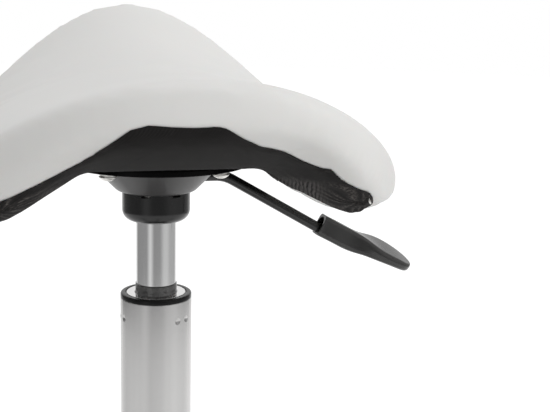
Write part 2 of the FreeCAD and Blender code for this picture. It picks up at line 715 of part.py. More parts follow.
def make_lever():
    """The bent release rod, its pivot under the plate and the moulded paddle on its end."""
    rod = new_body("lever_rod")
    path = new_sketch(rod, "path", "XZ_Plane")
    slope = math.radians(size("lever_slope"))
    height = size("seat_plate_height") - size("lever_drop")
    bend = size("lever_bend_radius")
    cut_back = bend * math.tan(slope / 2)
    tail = FreeCAD.Vector(-size("lever_tail"), height, 0)
    start = FreeCAD.Vector(size("lever_bend_reach") - cut_back, height, 0)
    centre = FreeCAD.Vector(start.x, height - bend, 0)
    turn_end = centre + FreeCAD.Vector(bend * math.sin(slope), bend * math.cos(slope), 0)
    far = size("lever_end_reach")
    tip = FreeCAD.Vector(far, turn_end.y - (far - turn_end.x) * math.tan(slope), 0)
    path.addGeometry(Part.LineSegment(tail, start), False)
    circle = Part.Circle(centre, FreeCAD.Vector(0, 0, 1), bend)
    path.addGeometry(Part.ArcOfCircle(circle, math.pi / 2 - slope, math.pi / 2), False)
    path.addGeometry(Part.LineSegment(turn_end, tip), False)
    path.addConstraint(Sketcher.Constraint("Horizontal", 0))
    path.addConstraint(Sketcher.Constraint("Tangent", 0, 2, 1, 2))
    path.addConstraint(Sketcher.Constraint("Tangent", 1, 1, 2, 1))
    radius = path.addConstraint(Sketcher.Constraint("Radius", 1, bend))
    path.setExpression(f"Constraints[{radius}]", formula("lever_bend_radius"))
    pin_point(path, 0, 1, "-lever_tail", LEVER_HEIGHT)
    reach = path.addConstraint(Sketcher.Constraint("DistanceX", -1, 1, 0, 2, start.x))
    path.setExpression(
        f"Constraints[{reach}]",
        formula("lever_bend_reach - lever_bend_radius * tan(lever_slope / 2)"))
    tilt = path.addConstraint(Sketcher.Constraint("Angle", 2, -slope))
    path.setExpression(f"Constraints[{tilt}]", formula("-lever_slope * 1 deg"))
    end = path.addConstraint(Sketcher.Constraint("DistanceX", -1, 1, 2, 2, far))
    path.setExpression(f"Constraints[{end}]", formula("lever_end_reach"))
    section = new_sketch(rod, "section", "YZ_Plane", "-lever_tail")
    draw_circle(section, "lever_radius", "0", LEVER_HEIGHT)
    pipe = rod.newObject("PartDesign::AdditivePipe", "lever_rod_pipe")
    pipe.Profile = section
    pipe.Spine = (path, [])
    doc.recompute()
    hole = new_sketch(rod, "pivot_hole", "XZ_Plane")
    draw_circle(hole, "pivot_radius + running_clearance", "pivot_reach", LEVER_HEIGHT)
    pocket(rod, hole, "2 * (lever_radius + cut_overrun)", both_ways=True)

    pivot = new_body("lever_pivot")
    pivot_round = new_sketch(pivot, "round", "XZ_Plane")
    draw_circle(pivot_round, "pivot_radius", "pivot_reach", LEVER_HEIGHT)
    pad(pivot, pivot_round, "pivot_length", both_ways=True)

    ears = new_body("lever_bracket")
    ear_outline = new_sketch(ears, "outline", "XZ_Plane")
    near, beyond = "pivot_reach - ear_width / 2", "pivot_reach + ear_width / 2"
    low = "seat_plate_height - ear_height"
    draw_polygon(ear_outline, [
        (near, low), (beyond, low), (beyond, "seat_plate_height"), (near, "seat_plate_height")])
    pad(ears, ear_outline, "2 * (lever_radius + ear_gap + ear_thickness)", both_ways=True)
    channel = new_sketch(ears, "channel", "YZ_Plane", "pivot_reach - ear_width / 2 - cut_overrun")
    half = "(lever_radius + ear_gap)"
    roof = "seat_plate_height - ear_thickness"
    draw_polygon(channel, [
        (f"-{half}", f"{low} - cut_overrun"), (half, f"{low} - cut_overrun"),
        (half, roof), (f"-{half}", roof)])
    pocket(ears, channel, "ear_width + 2 * cut_overrun", backwards=True)
    pin_hole = new_sketch(ears, "pin_hole", "XZ_Plane")
    draw_circle(pin_hole, "pivot_radius", "pivot_reach", LEVER_HEIGHT)
    pocket(ears, pin_hole, "2 * (lever_radius + ear_gap + ear_thickness + cut_overrun)",
           both_ways=True)
    make_grip()


def paddle_section(width, thickness, corner, to_place):
    """A closed section of the paddle: a bar with rounded corners, carried to its place."""
    half_width, half_height = width / 2, thickness / 2
    rounding = min(corner, half_height * FULLEST_ROUND_SHARE, half_width * FULLEST_ROUND_SHARE)
    edges = []
    for quarter, (across, up) in enumerate(((1, 1), (-1, 1), (-1, -1), (1, -1))):
        centre = FreeCAD.Vector(0, across * (half_width - rounding), up * (half_height - rounding))
        turns = [math.pi / 4 * (2 * quarter + step) for step in range(3)]
        spots = [
            centre + FreeCAD.Vector(0, math.cos(turn), math.sin(turn)) * rounding for turn in turns
        ]
        if edges:
            edges.append((edges[-1][-1], spots[0]))
        edges.append(tuple(spots))
    edges.append((edges[-1][-1], edges[0][0]))
    return Part.Wire([
        Part.Arc(*[to_place.multVec(spot) for spot in edge]).toShape() if len(edge) == 3
        else Part.LineSegment(*[to_place.multVec(spot) for spot in edge]).toShape()
        for edge in edges
    ])


def make_grip():
    """The moulded paddle: a boxy socket that thins and widens into a rolled, rounded blade."""
    slope = size("grip_slope")
    turn = FreeCAD.Rotation(FreeCAD.Vector(0, 1, 0), slope)
    start = FreeCAD.Vector(size("grip_start_reach"), 0,
                           size("seat_plate_height") - size("grip_start_drop"))
    along = turn.multVec(FreeCAD.Vector(1, 0, 0))
    across = turn.multVec(FreeCAD.Vector(0, 0, 1))
    wires = []
    for place, wide, thin, rise, roll in GRIP_SHARES:
        spot = start + along * (place * size("grip_length")) + across * (rise * size("grip_rise"))
        width = size("grip_socket_width") + (size("grip_width") - size("grip_socket_width")) * wide
        thickness = size("grip_socket_height")
        thickness += (size("grip_thickness") - thickness) * thin
        rolled = FreeCAD.Rotation(FreeCAD.Vector(1, 0, 0), size("grip_roll") * roll)
        place_there = FreeCAD.Placement(spot, turn.multiply(rolled))
        wires.append(paddle_section(width, thickness, size("grip_corner_round"), place_there))
    paddle = Part.makeLoft(wires, True, False)
    lever_turn = FreeCAD.Rotation(FreeCAD.Vector(0, 1, 0), size("lever_slope"))
    rod_line = lever_turn.multVec(FreeCAD.Vector(1, 0, 0))
    rod_end = lever_end()
    back = size("grip_length")
    bore = Part.makeCylinder(size("lever_radius") + size("running_clearance"), back,
                             rod_end - rod_line * back, rod_line)
    mouth = Part.makeCylinder(size("grip_mouth_radius"),
                              size("grip_mouth_depth") + size("cut_overrun"),
                              start - along * size("cut_overrun"), along)
    grip = doc.addObject("Part::Feature", "lever_grip")
    grip.Shape = paddle.cut(bore).cut(mouth)
    grip.Placement = FreeCAD.Placement()
    keep(grip, "lever_grip")


def lever_end():
    """The far end of the lever rod's centre line."""
    slope = math.radians(size("lever_slope"))
    bend = size("lever_bend_radius")
    height = size("seat_plate_height") - size("lever_drop")
    start = size("lever_bend_reach") - bend * math.tan(slope / 2)
    turn_x = start + bend * math.sin(slope)
    turn_z = height - bend * (1 - math.cos(slope))
    far = size("lever_end_reach")
    return FreeCAD.Vector(far, 0, turn_z - (far - turn_x) * math.tan(slope))


def smooth_step(value):
    """An even rise from 0 to 1."""
    held = min(max(value, 0.0), 1.0)
    return held * held * (3 - 2 * held)


class Saddle:
    """The saddle's form: its outline in plan, its middle surface and its underside."""

    def __init__(self, inset=0.0):
        self.length = size("seat_half_length") - inset
        self.width = size("seat_half_width") - inset
        self.centre = -size("seat_centre_offset")
        self.full_length = size("seat_half_length")

    def half_width(self, along):
        """Half the seat's width at a place along Y, as a share of the half length."""
        fullness = (1 - abs(along) ** OUTLINE_LENGTH_SHARE) ** OUTLINE_WIDTH_SHARE
        return self.width * fullness * (1 + WIDENING_SHARE * (along - WIDENING_CENTRE_SHARE))

    def middle(self, across, forward):
        """Height of the saddle's middle surface above the seat plate's underside."""
        waist, reach = size("seat_waist_offset"), self.full_length
        front = max(0.0, (waist - forward) / (waist - self.centre + reach))
        rear = max(0.0, (forward - waist) / (self.centre + reach - waist))
        ridge = size("seat_waist_height")
        ridge += (size("seat_pommel_height") - ridge) * front ** 2
        ridge += (size("seat_cantle_height") - size("seat_waist_height")) * rear ** 2
        share = (forward - self.centre) / reach
        end_slope = FRONT_SLOPE_SHARE if share < 0 else REAR_SLOPE_SHARE
        slope = WAIST_SLOPE_SHARE + (end_slope - WAIST_SLOPE_SHARE) * share ** 2
        span = size("seat_crown_span")
        return ridge - slope * span * (math.sqrt(1 + (across / span) ** 2) - 1)

    def underside(self, across, forward):
        """Height of the underside: flat over the plate, rising to both ends, with flaps."""
        flat = size("under_flat_reach")
        base = size("plate_thickness") + 2 * size("cloth_gap") + size("cloth_thickness")
        front = max(0.0, (-flat - forward) / (self.full_length - self.centre - flat))
        rear = max(0.0, (forward - flat) / (self.centre + self.full_length - flat))
        rise = size("under_front_rise") * front ** UNDERSIDE_RISE_SHARE
        rise += size("under_rear_rise") * rear ** UNDERSIDE_RISE_SHARE
        drop = smooth_step((abs(across) - size("flap_start")) / size("flap_span"))
        return base + rise - size("flap_drop") * drop

    def thickness(self, forward):
        """Rise of the pad above the middle surface."""
        step = math.tanh((forward + size("pad_step_offset")) / size("pad_step_span"))
        share = (1 + step) / 2
        return size("pad_front_rise") + (size("pad_rise") - size("pad_front_rise")) * share


def point_on(saddle, angle, station, share):
    """A point of the pad's section at a station angle, at a share of its half width."""
    along = math.sin(station)
    forward = saddle.centre + saddle.length * along
    across = saddle.half_width(along) * share
    turn = math.acos(min(1.0, abs(share) ** (1 / SIDE_ROUND_SHARE)))
    rounding = math.cos(station) ** END_ROUND_SHARE * math.sin(turn) ** RIM_ROUND_SHARE
    middle = saddle.middle(across, forward)
    if angle > 0:
        height = middle + saddle.thickness(forward) * rounding
    else:
        if abs(share) <= FLAP_SHARES[-1]:
            rounding = math.cos(station) ** END_ROUND_SHARE
        height = middle - (middle - saddle.underside(across, forward)) * rounding
    return FreeCAD.Vector(across, forward, height + size("seat_plate_height"))


def side_share(degrees):
    """The share of the half width that a turn about the section stands at."""
    return math.cos(math.radians(degrees)) ** SIDE_ROUND_SHARE


def arc_through(points):
    """An edge through three points."""
    return Part.Arc(*points).toShape()


def pad_section(saddle, station):
    """The closed section of the upholstered pad: crown, flanks, rims, flaps and flat."""
    upper = [side_share(turn) for turn in CROWN_TURNS]
    lower = [*(side_share(turn) for turn in RIM_TURNS), RIM_SHARE, *FLAP_SHARES]

    def top(share):
        return point_on(saddle, 1, station, share)

    def bottom(share):
        return point_on(saddle, -1, station, share)

    crown = arc_through([top(-upper[4]), top(0.0), top(upper[4])])
    right = [
        arc_through([top(upper[4]), top(upper[3]), top(upper[2])]),
        arc_through([top(upper[2]), top(upper[1]), top(upper[0])]),
        arc_through([top(upper[0]), bottom(lower[0]), bottom(lower[1])]),
        arc_through([bottom(lower[1]), bottom(lower[3]), bottom(lower[4])]),
        arc_through([bottom(lower[4]), bottom(lower[5]), bottom(lower[6])]),
    ]
    flat = Part.LineSegment(bottom(lower[6]), bottom(-lower[6])).toShape()
    left = [
        arc_through([bottom(-lower[6]), bottom(-lower[5]), bottom(-lower[4])]),
        arc_through([bottom(-lower[4]), bottom(-lower[3]), bottom(-lower[1])]),
        arc_through([bottom(-lower[1]), bottom(-lower[0]), top(-upper[0])]),
        arc_through([top(-upper[0]), top(-upper[1]), top(-upper[2])]),
        arc_through([top(-upper[2]), top(-upper[3]), top(-upper[4])]),
    ]
    return Part.Wire([crown] + right + [flat] + left)


def board_section(saddle, full, station):
    """A section of the tool that shapes the board: its top, its sides and a floor below."""
    along = math.sin(station)
    forward = saddle.centre + saddle.length * along
    half = saddle.half_width(along)
    floor = size("seat_plate_height") - size("board_tool_depth")
    lift = size("board_thickness") + size("seat_plate_height")

    def top(share):
        across = half * share
        return FreeCAD.Vector(across, forward, full.underside(across, forward) + lift)

    outer, inner, cove, flat = FLAP_SHARES
    edges = [arc_or_line([top(flat), top((flat + inner) / 2), top(inner)])]
    edges.append(arc_or_line([top(inner), top(outer), top(1.0)]))
    edges.append(Part.LineSegment(top(1.0), FreeCAD.Vector(half, forward, floor)).toShape())
    edges.append(Part.LineSegment(FreeCAD.Vector(half, forward, floor),
                                  FreeCAD.Vector(-half, forward, floor)).toShape())
    edges.append(Part.LineSegment(FreeCAD.Vector(-half, forward, floor), top(-1.0)).toShape())
    edges.append(arc_or_line([top(-1.0), top(-outer), top(-inner)]))
    edges.append(arc_or_line([top(-inner), top(-(flat + inner) / 2), top(-flat)]))
    edges.append(Part.LineSegment(top(-flat), top(flat)).toShape())
    return Part.Wire(edges)


def arc_or_line(points):
    """An arc through three points, or the straight edge where they are in line."""
    bow = points[1].distanceToLine(points[0], points[2] - points[0])
    if bow < STRAIGHT_BOW:
        return Part.LineSegment(points[0], points[2]).toShape()
    return Part.Arc(*points).toShape()


def outline_prism(saddle, low, high):
    """An upright block whose outline in plan is the saddle's, from one height to another."""
    turns = [math.radians(angle) for angle in PLAN_TURNS]
    right = []
    for turn in turns:
        along = math.sin(turn)
        right.append(FreeCAD.Vector(saddle.half_width(min(abs(along), 1.0) * math.copysign(
            1.0, along)), saddle.centre + saddle.length * along, low))
    left = [FreeCAD.Vector(-point.x, point.y, point.z) for point in reversed(right[1:-1])]
    curve = Part.BSplineCurve()
    curve.interpolate(Points=right + left, PeriodicFlag=True)
    face = Part.Face(Part.Wire(curve.toShape()))
    return face.extrude(FreeCAD.Vector(0, 0, high - low))


def rounds_at_screws(radius, bottom, height):
    """Upright cylinders at the four screw places, as cutting tools."""
    return Part.makeCompound([
        Part.makeCylinder(radius, height, FreeCAD.Vector(across, up, bottom))
        for across, up in screw_centres()
    ])


def make_seat():
    """The pad, the moulded board in its underside and the cloth that covers both."""
    full = Saddle()
    plate = size("seat_plate_height")
    plate_top = plate + size("plate_thickness")
    overrun = size("cut_overrun")
    stations = [math.radians(angle) for angle in SECTION_ANGLES]
    pad_form = Part.makeLoft([pad_section(full, station) for station in stations], True, False)
    inner = Saddle(size("board_inset"))
    tool = Part.makeLoft([board_section(inner, full, station) for station in stations],
                         True, False)
    board = pad_form.common(tool)
    cushion = pad_form.cut(tool)

    board_bottom = plate_top + 2 * size("cloth_gap") + size("cloth_thickness")
    board_top = board_bottom + size("board_thickness")
    nut_room = size("running_clearance")
    board = board.cut(rounds_at_screws(size("nut_barrel_radius") + nut_room,
                                       board_bottom - overrun,
                                       size("board_thickness") + 2 * overrun))
    flanges = rounds_at_screws(size("nut_flange_radius") + nut_room, board_top - overrun,
                               size("nut_flange_thickness") + overrun + nut_room)
    cushion = cushion.cut(flanges)
    board = board.cut(rounds_at_screws(size("nut_flange_radius") + nut_room, board_top,
                                       overrun))

    plate_room = size("plate_radius") + size("cloth_gap")
    board = board.cut(Part.makeCylinder(plate_room, board_bottom - plate + overrun,
                                        FreeCAD.Vector(0, 0, plate - overrun)))

    cloth_top = pad_form.copy()
    cloth_top.translate(FreeCAD.Vector(0, 0, -size("cloth_gap")))
    cloth_form = cloth_top.copy()
    cloth_form.translate(FreeCAD.Vector(0, 0, -size("cloth_thickness")))
    low = plate - size("board_tool_depth")
    high = plate + size("seat_cantle_height")
    cloth = cloth_form.common(outline_prism(Saddle(size("cloth_inset")), low, high))
    cloth = cloth.cut(cloth_top)
    cloth = cloth.cut(rounds_at_screws(size("screw_hole_radius"), plate,
                                       board_top - plate + overrun))
    cloth = cloth.cut(Part.makeCylinder(
        plate_room, 2 * overrun + size("plate_thickness") + size("cloth_gap"),
        FreeCAD.Vector(0, 0, plate - 2 * overrun)))
    for label, shape in (("seat_cushion", cushion), ("seat_board", board),
                         ("underside_cloth", cloth)):
        feature = doc.addObject("Part::Feature", label)
        feature.Shape = shape
        feature.Placement = FreeCAD.Placement()
        keep(feature, label)


def hub_bottom():
    """Height of the hub's underside, and of the arms' edges at their tips."""
    return size("tube_bottom_height") + size("hub_foot_gap")


def make_base():
    """The hub, the five pressed arms and the sleeves at their tips for the castors."""
    hub = turned_part("base_hub", [
        ("tube_foot_radius + running_clearance", HUB_BOTTOM),
        ("hub_radius", HUB_BOTTOM),
        ("hub_radius", HUB_TOP),
        ("tube_radius + running_clearance", HUB_TOP),
    ])
    top = hub_bottom() + size("hub_height")
    round_edges(hub, "hub_mouth_round", lambda edge: is_ring(edge, size("hub_radius"), top))
    make_arms()
    make_sleeves()


def arm_angle(number):
    """Direction of an arm; the first points to the seat's front."""
    return 360.0 / ARM_COUNT * number - 90.0


def channel_edges(spot, half_width, height, inset, below):
    """Half of an arm's section at a place along it, as edges from its foot to its ridge."""
    half = half_width - inset
    top = height - inset
    corner = size("arm_edge_round") - inset / 2
    drawn_in = half - size("arm_draft")
    lean = math.atan2(size("arm_draft"), height)
    shoulder = FreeCAD.Vector(0, drawn_in + corner * math.sin(lean) / 2, top - corner)
    ridge = FreeCAD.Vector(0, drawn_in - corner, top)
    centre = FreeCAD.Vector(0, drawn_in - corner, top - corner)
    middle = centre + FreeCAD.Vector(0, 1, 1).normalize() * corner
    foot = FreeCAD.Vector(0, half, -below)
    return [spot + point for point in (foot, shoulder, middle, ridge)]


def channel_wire(spot, half_width, height, inset=0.0, below=0.0):
    """The closed section of an arm: an inverted channel with rounded ridges."""
    foot, shoulder, middle, ridge = channel_edges(spot, half_width, height, inset, below)
    mirrored = [FreeCAD.Vector(point.x, -point.y, point.z)
                for point in (foot, shoulder, middle, ridge)]
    edges = [
        Part.LineSegment(mirrored[0], foot).toShape(),
        Part.LineSegment(foot, shoulder).toShape(),
        Part.Arc(shoulder, middle, ridge).toShape(),
        Part.LineSegment(ridge, mirrored[3]).toShape(),
        Part.Arc(mirrored[3], mirrored[2], mirrored[1]).toShape(),
        Part.LineSegment(mirrored[1], mirrored[0]).toShape(),
    ]
    return Part.Wire(edges)


def channel_nose(spot, half_width, height, inset=0.0, below=0.0):
    """The arm's round end: half of its tip section turned about the castor's axis."""
    foot, shoulder, middle, ridge = channel_edges(spot, half_width, height, inset, below)
    top = FreeCAD.Vector(spot.x, 0, ridge.z)
    base = FreeCAD.Vector(spot.x, 0, foot.z)
    outline = Part.Wire([
        Part.LineSegment(base, foot).toShape(),
        Part.LineSegment(foot, shoulder).toShape(),
        Part.Arc(shoulder, middle, ridge).toShape(),
        Part.LineSegment(ridge, top).toShape(),
        Part.LineSegment(top, base).toShape(),
    ])
    return Part.Face(outline).revolve(spot, FreeCAD.Vector(0, 0, 1), -180)


def arm_form(inset=0.0, below=0.0):
    """The arm's outer form, or its hollow where an inset is given."""
    root = FreeCAD.Vector(size("hub_radius") - size("arm_draft") - size("cut_overrun"), 0,
                          hub_bottom() + size("arm_root_lift"))
    tip = FreeCAD.Vector(size("castor_ring_radius"), 0, hub_bottom())
    root_sizes = (size("arm_root_half_width"), size("arm_root_height"), inset, below)
    tip_sizes = (size("arm_tip_half_width"), size("arm_tip_height"), inset, below)
    beam = Part.makeLoft([channel_wire(root, *root_sizes), channel_wire(tip, *tip_sizes)],
                         True, True)
    return beam.fuse(channel_nose(tip, *tip_sizes)).removeSplitter()


def make_arms():
    """Five pressed arms, each an inverted channel that tapers to a round tip."""
    shell = arm_form().cut(arm_form(size("arm_wall"), size("cut_overrun")))
    hub_room = Part.makeCylinder(size("hub_radius"), size("hub_height") + size("arm_root_height"),
                                 FreeCAD.Vector(0, 0, hub_bottom()))
    shell = shell.cut(hub_room)
    for number in range(ARM_COUNT):
        arm = doc.addObject("Part::Feature", f"base_arm_{number + 1}")
        arm.Shape = shell
        arm.Placement = FreeCAD.Placement(
            FreeCAD.Vector(0, 0, 0),
            FreeCAD.Rotation(FreeCAD.Vector(0, 0, 1), arm_angle(number)))
        keep(arm, f"base_arm_{number + 1}")


def make_sleeves():
    """The five equal sleeves, one welded under each arm's tip, for the castor stems."""
    bottom = hub_bottom()
    height = size("arm_tip_height") - size("arm_wall") - size("sleeve_top_gap")
    bore = size("stem_radius") + size("running_clearance")
    pieces = []
    for number in range(ARM_COUNT):
        angle = math.radians(arm_angle(number))
        spot = FreeCAD.Vector(size("castor_ring_radius") * math.cos(angle),
                              size("castor_ring_radius") * math.sin(angle), bottom)
        sleeve = Part.makeCylinder(size("sleeve_radius"), height, spot)
        pieces.append(sleeve.cut(Part.makeCylinder(bore, height, spot)))
    sleeves = doc.addObject("Part::Feature", "castor_sleeves")
    sleeves.Shape = Part.makeCompound(pieces)
    sleeves.Placement = FreeCAD.Placement()
    keep(sleeves, "castor_sleeves")


def make_castor(number):
    """One twin-wheel castor, built on its stem's axis and carried to its arm."""
    angle = arm_angle(number)
    spot = FreeCAD.Vector(size("castor_ring_radius") * math.cos(math.radians(angle)),
                          size("castor_ring_radius") * math.sin(math.radians(angle)), 0)
    place = FreeCAD.Placement(spot, FreeCAD.Rotation(FreeCAD.Vector(0, 0, 1),
                                                     angle + CASTOR_TURNS[number]))
    ending = number + 1
    for body in (make_housing(ending), make_stem(ending), make_axle(ending),
                 make_wheel(ending, "left", 1), make_wheel(ending, "right", -1)):
        body.Placement = place


WHEEL_START = "(castor_web / 2 + wheel_side_gap)"
HOOD_RADIUS = "(wheel_radius + hood_gap + hood_wall)"
HOOD_HALF_WIDTH = f"({WHEEL_START} + wheel_width + hood_side_margin)"


def make_housing(ending):
    """The castor's housing: a web between the wheels, a hood over them and a stem boss."""
    body = new_body(f"castor_housing_{ending}")
    drum = new_sketch(body, "drum", "XZ_Plane")
    draw_circle(drum, HOOD_RADIUS, "castor_trail", "wheel_radius")
    pad(body, drum, f"2 * {HOOD_HALF_WIDTH}", both_ways=True)
    boss = new_sketch(body, "boss", "XY_Plane", "boss_foot_height")
    draw_circle(boss, "boss_radius")
    pad(body, boss, BOSS_DEPTH)
    for side, sign, back in (("near", "", True), ("far", "-", False)):
        room = new_sketch(body, f"room_{side}", "XZ_Plane", f"{sign}castor_web / 2")
        draw_circle(room, "wheel_radius + hood_gap", "castor_trail", "wheel_radius")
        pocket(body, room, f"{HOOD_HALF_WIDTH} + cut_overrun", backwards=back)
    skirt = new_sketch(body, "skirt", "XZ_Plane")
    reach = f"({HOOD_RADIUS} + cut_overrun)"
    draw_polygon(skirt, [
        (f"castor_trail - {reach}", f"wheel_radius - {reach}"),
        (f"castor_trail + {reach}", f"wheel_radius - {reach}"),
        (f"castor_trail + {reach}", "hood_skirt_height"),
        (f"castor_trail - {reach}", "hood_skirt_height"),
    ])
    pocket(body, skirt, f"2 * {HOOD_HALF_WIDTH} + 2 * cut_overrun", both_ways=True)
    disc = new_sketch(body, "disc", "XZ_Plane")
    draw_circle(disc, "axle_disc_radius", "castor_trail", "wheel_radius")
    pad(body, disc, "castor_web", both_ways=True)
    axle_hole = new_sketch(body, "axle_hole", "XZ_Plane")
    draw_circle(axle_hole, "axle_radius", "castor_trail", "wheel_radius")
    pocket(body, axle_hole, "castor_web + 2 * cut_overrun", both_ways=True)
    stem_hole = new_sketch(body, "stem_hole", "XY_Plane", "boss_foot_height")
    draw_circle(stem_hole, "stem_radius")
    pocket(body, stem_hole, f"{BOSS_DEPTH} + cut_overrun", backwards=True)
    return body


def make_stem(ending):
    """The castor's steel stem with its collar and friction-ring groove."""
    body = new_body(f"castor_stem_{ending}")
    sleeve_top = f"({HUB_BOTTOM} + arm_tip_height - arm_wall)"
    groove_top = f"({sleeve_top} - 2 * stem_top_gap)"
    collar_top = f"({BOSS_TOP} + stem_collar_thickness)"
    revolve(body, [
        ("0", "boss_foot_height"),
        ("stem_radius", "boss_foot_height"),
        ("stem_radius", BOSS_TOP),
        ("stem_collar_radius", BOSS_TOP),
        ("stem_collar_radius", collar_top),
        ("stem_radius", collar_top),
        ("stem_radius", f"{groove_top} - stem_groove_length"),
        ("stem_radius - stem_groove_depth", f"{groove_top} - stem_groove_length"),
        ("stem_radius - stem_groove_depth", groove_top),
        ("stem_radius", groove_top),
        ("stem_radius", f"{sleeve_top} - stem_top_gap - stem_point"),
        ("stem_radius - stem_point", f"{sleeve_top} - stem_top_gap"),
        ("0", f"{sleeve_top} - stem_top_gap"),
    ])
    return body


def make_axle(ending):
    """The steel axle, pressed through the housing's web."""
    body = new_body(f"castor_axle_{ending}")
    round_end = new_sketch(body, "round", "XZ_Plane")
    draw_circle(round_end, "axle_radius", "castor_trail", "wheel_radius")
    pad(body, round_end, f"2 * ({WHEEL_START} + wheel_width - wheel_recess / 2)", both_ways=True)
    return body


def make_wheel(ending, side, sign):
    """A moulded wheel: a rim with rounded edges, a thin web and a hub on the axle."""
    body = new_body(f"castor_wheel_{side}_{ending}")
    sketch = new_sketch(body, "profile", "XY_Plane", "wheel_radius")
    flip = "" if sign > 0 else "-"
    inner_face = WHEEL_START
    outer_face = f"({WHEEL_START} + wheel_width)"
    bore = "(axle_radius + running_clearance)"
    rim_inside = "(wheel_radius - wheel_rim)"
    corners = [
        (bore, inner_face),
        ("wheel_hub_radius", inner_face),
        ("wheel_hub_radius", f"({inner_face} + wheel_recess)"),
        (rim_inside, f"({inner_face} + wheel_recess)"),
        (rim_inside, inner_face),
        ("wheel_radius", inner_face),
        ("wheel_radius", outer_face),
        (rim_inside, outer_face),
        (rim_inside, f"({outer_face} - wheel_recess / 2)"),
        (bore, f"({outer_face} - wheel_recess / 2)"),
    ]
    draw_polygon(sketch, [
        (f"castor_trail + {across}", f"{flip}{along}") for across, along in corners])
    axis = new_sketch(body, "axis", "XY_Plane", "wheel_radius")
    line = axis.addGeometry(Part.LineSegment(FreeCAD.Vector(1, 0, 0), FreeCAD.Vector(1, 1, 0)),
                            False)
    pin_point(axis, line, 1, "castor_trail", "0")
    pin_point(axis, line, 2, "castor_trail", "wheel_radius")
    turned = body.newObject("PartDesign::Revolution", f"{body.Name}_turn")
    turned.Profile = sketch
    turned.ReferenceAxis = (axis, ["Edge1"])
    doc.recompute()
    round_edges(body, "wheel_edge_round", is_tread_edge)
    return body


def is_tread_edge(edge):
    """Whether an edge is one of the tread's two outer circles."""
    return isinstance(edge.Curve, Part.Circle) and math.isclose(
        edge.Curve.Radius, size("wheel_radius"), rel_tol=1e-6)


def write_parts():
    """Check every object and write each sub-part under its node name."""
    doc.recompute()
    for obj in doc.Objects:
        if "Invalid" in obj.State or "Error" in obj.State:
            raise RuntimeError(f"{obj.Label} failed: {obj.State}")
    os.makedirs("parts", exist_ok=True)
    for obj in PARTS:
        shape = obj.Shape
        if shape.isNull() or not shape.isValid():
            raise RuntimeError(f"{obj.Label} has no valid shape")
        shape.exportStep(f"parts/{obj.Label}.step")
        print(obj.Label, len(shape.Solids), round(shape.Volume, 1))


make_column()
make_seat_plate()
make_fasteners()
make_mechanism()
make_lever()
make_seat()
make_base()
for castor in range(ARM_COUNT):
    make_castor(castor)
write_parts()
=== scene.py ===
"""Looks of a saddle-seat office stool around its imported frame.

The stool has an off-white upholstered saddle with a black dust cloth stapled under it, a black
seat plate with a release lever, a chrome gas column in a satin tube, and a five-star base on
twin-wheel castors. Lengths are in metres, in the same frame as the solids.
"""

import logging
import math
from dataclasses import dataclass, field
from enum import Enum

import bpy
import numpy as np
from mathutils import Matrix, Vector
from mathutils.bvhtree import BVHTree

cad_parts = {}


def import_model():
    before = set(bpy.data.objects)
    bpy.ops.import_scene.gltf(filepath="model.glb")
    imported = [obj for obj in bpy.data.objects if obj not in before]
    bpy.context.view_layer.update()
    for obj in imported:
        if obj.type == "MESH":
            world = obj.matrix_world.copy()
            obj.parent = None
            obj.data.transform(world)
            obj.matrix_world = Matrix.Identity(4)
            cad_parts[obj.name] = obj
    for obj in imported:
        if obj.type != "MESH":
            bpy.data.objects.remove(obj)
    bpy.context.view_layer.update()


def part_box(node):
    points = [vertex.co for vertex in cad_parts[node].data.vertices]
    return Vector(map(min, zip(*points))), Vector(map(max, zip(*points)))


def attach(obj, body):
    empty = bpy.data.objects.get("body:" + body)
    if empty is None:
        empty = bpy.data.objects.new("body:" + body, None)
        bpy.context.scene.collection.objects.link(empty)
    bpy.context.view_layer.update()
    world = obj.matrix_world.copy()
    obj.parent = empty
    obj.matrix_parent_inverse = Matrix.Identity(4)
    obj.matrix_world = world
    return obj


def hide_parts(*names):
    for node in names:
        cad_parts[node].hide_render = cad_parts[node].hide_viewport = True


LOG = logging.getLogger("stool")
MM = 0.001
WHITE = (1.0, 1.0, 1.0, 1.0)

Colour = tuple[float, float, float]
Point = tuple[float, float, float]
Socket = bpy.types.NodeSocket

# A Ramp is where a smooth step starts and how far it spans; a negative span runs down.
Ramp = tuple[float, float]


# Node trees and the effects that several finishes share


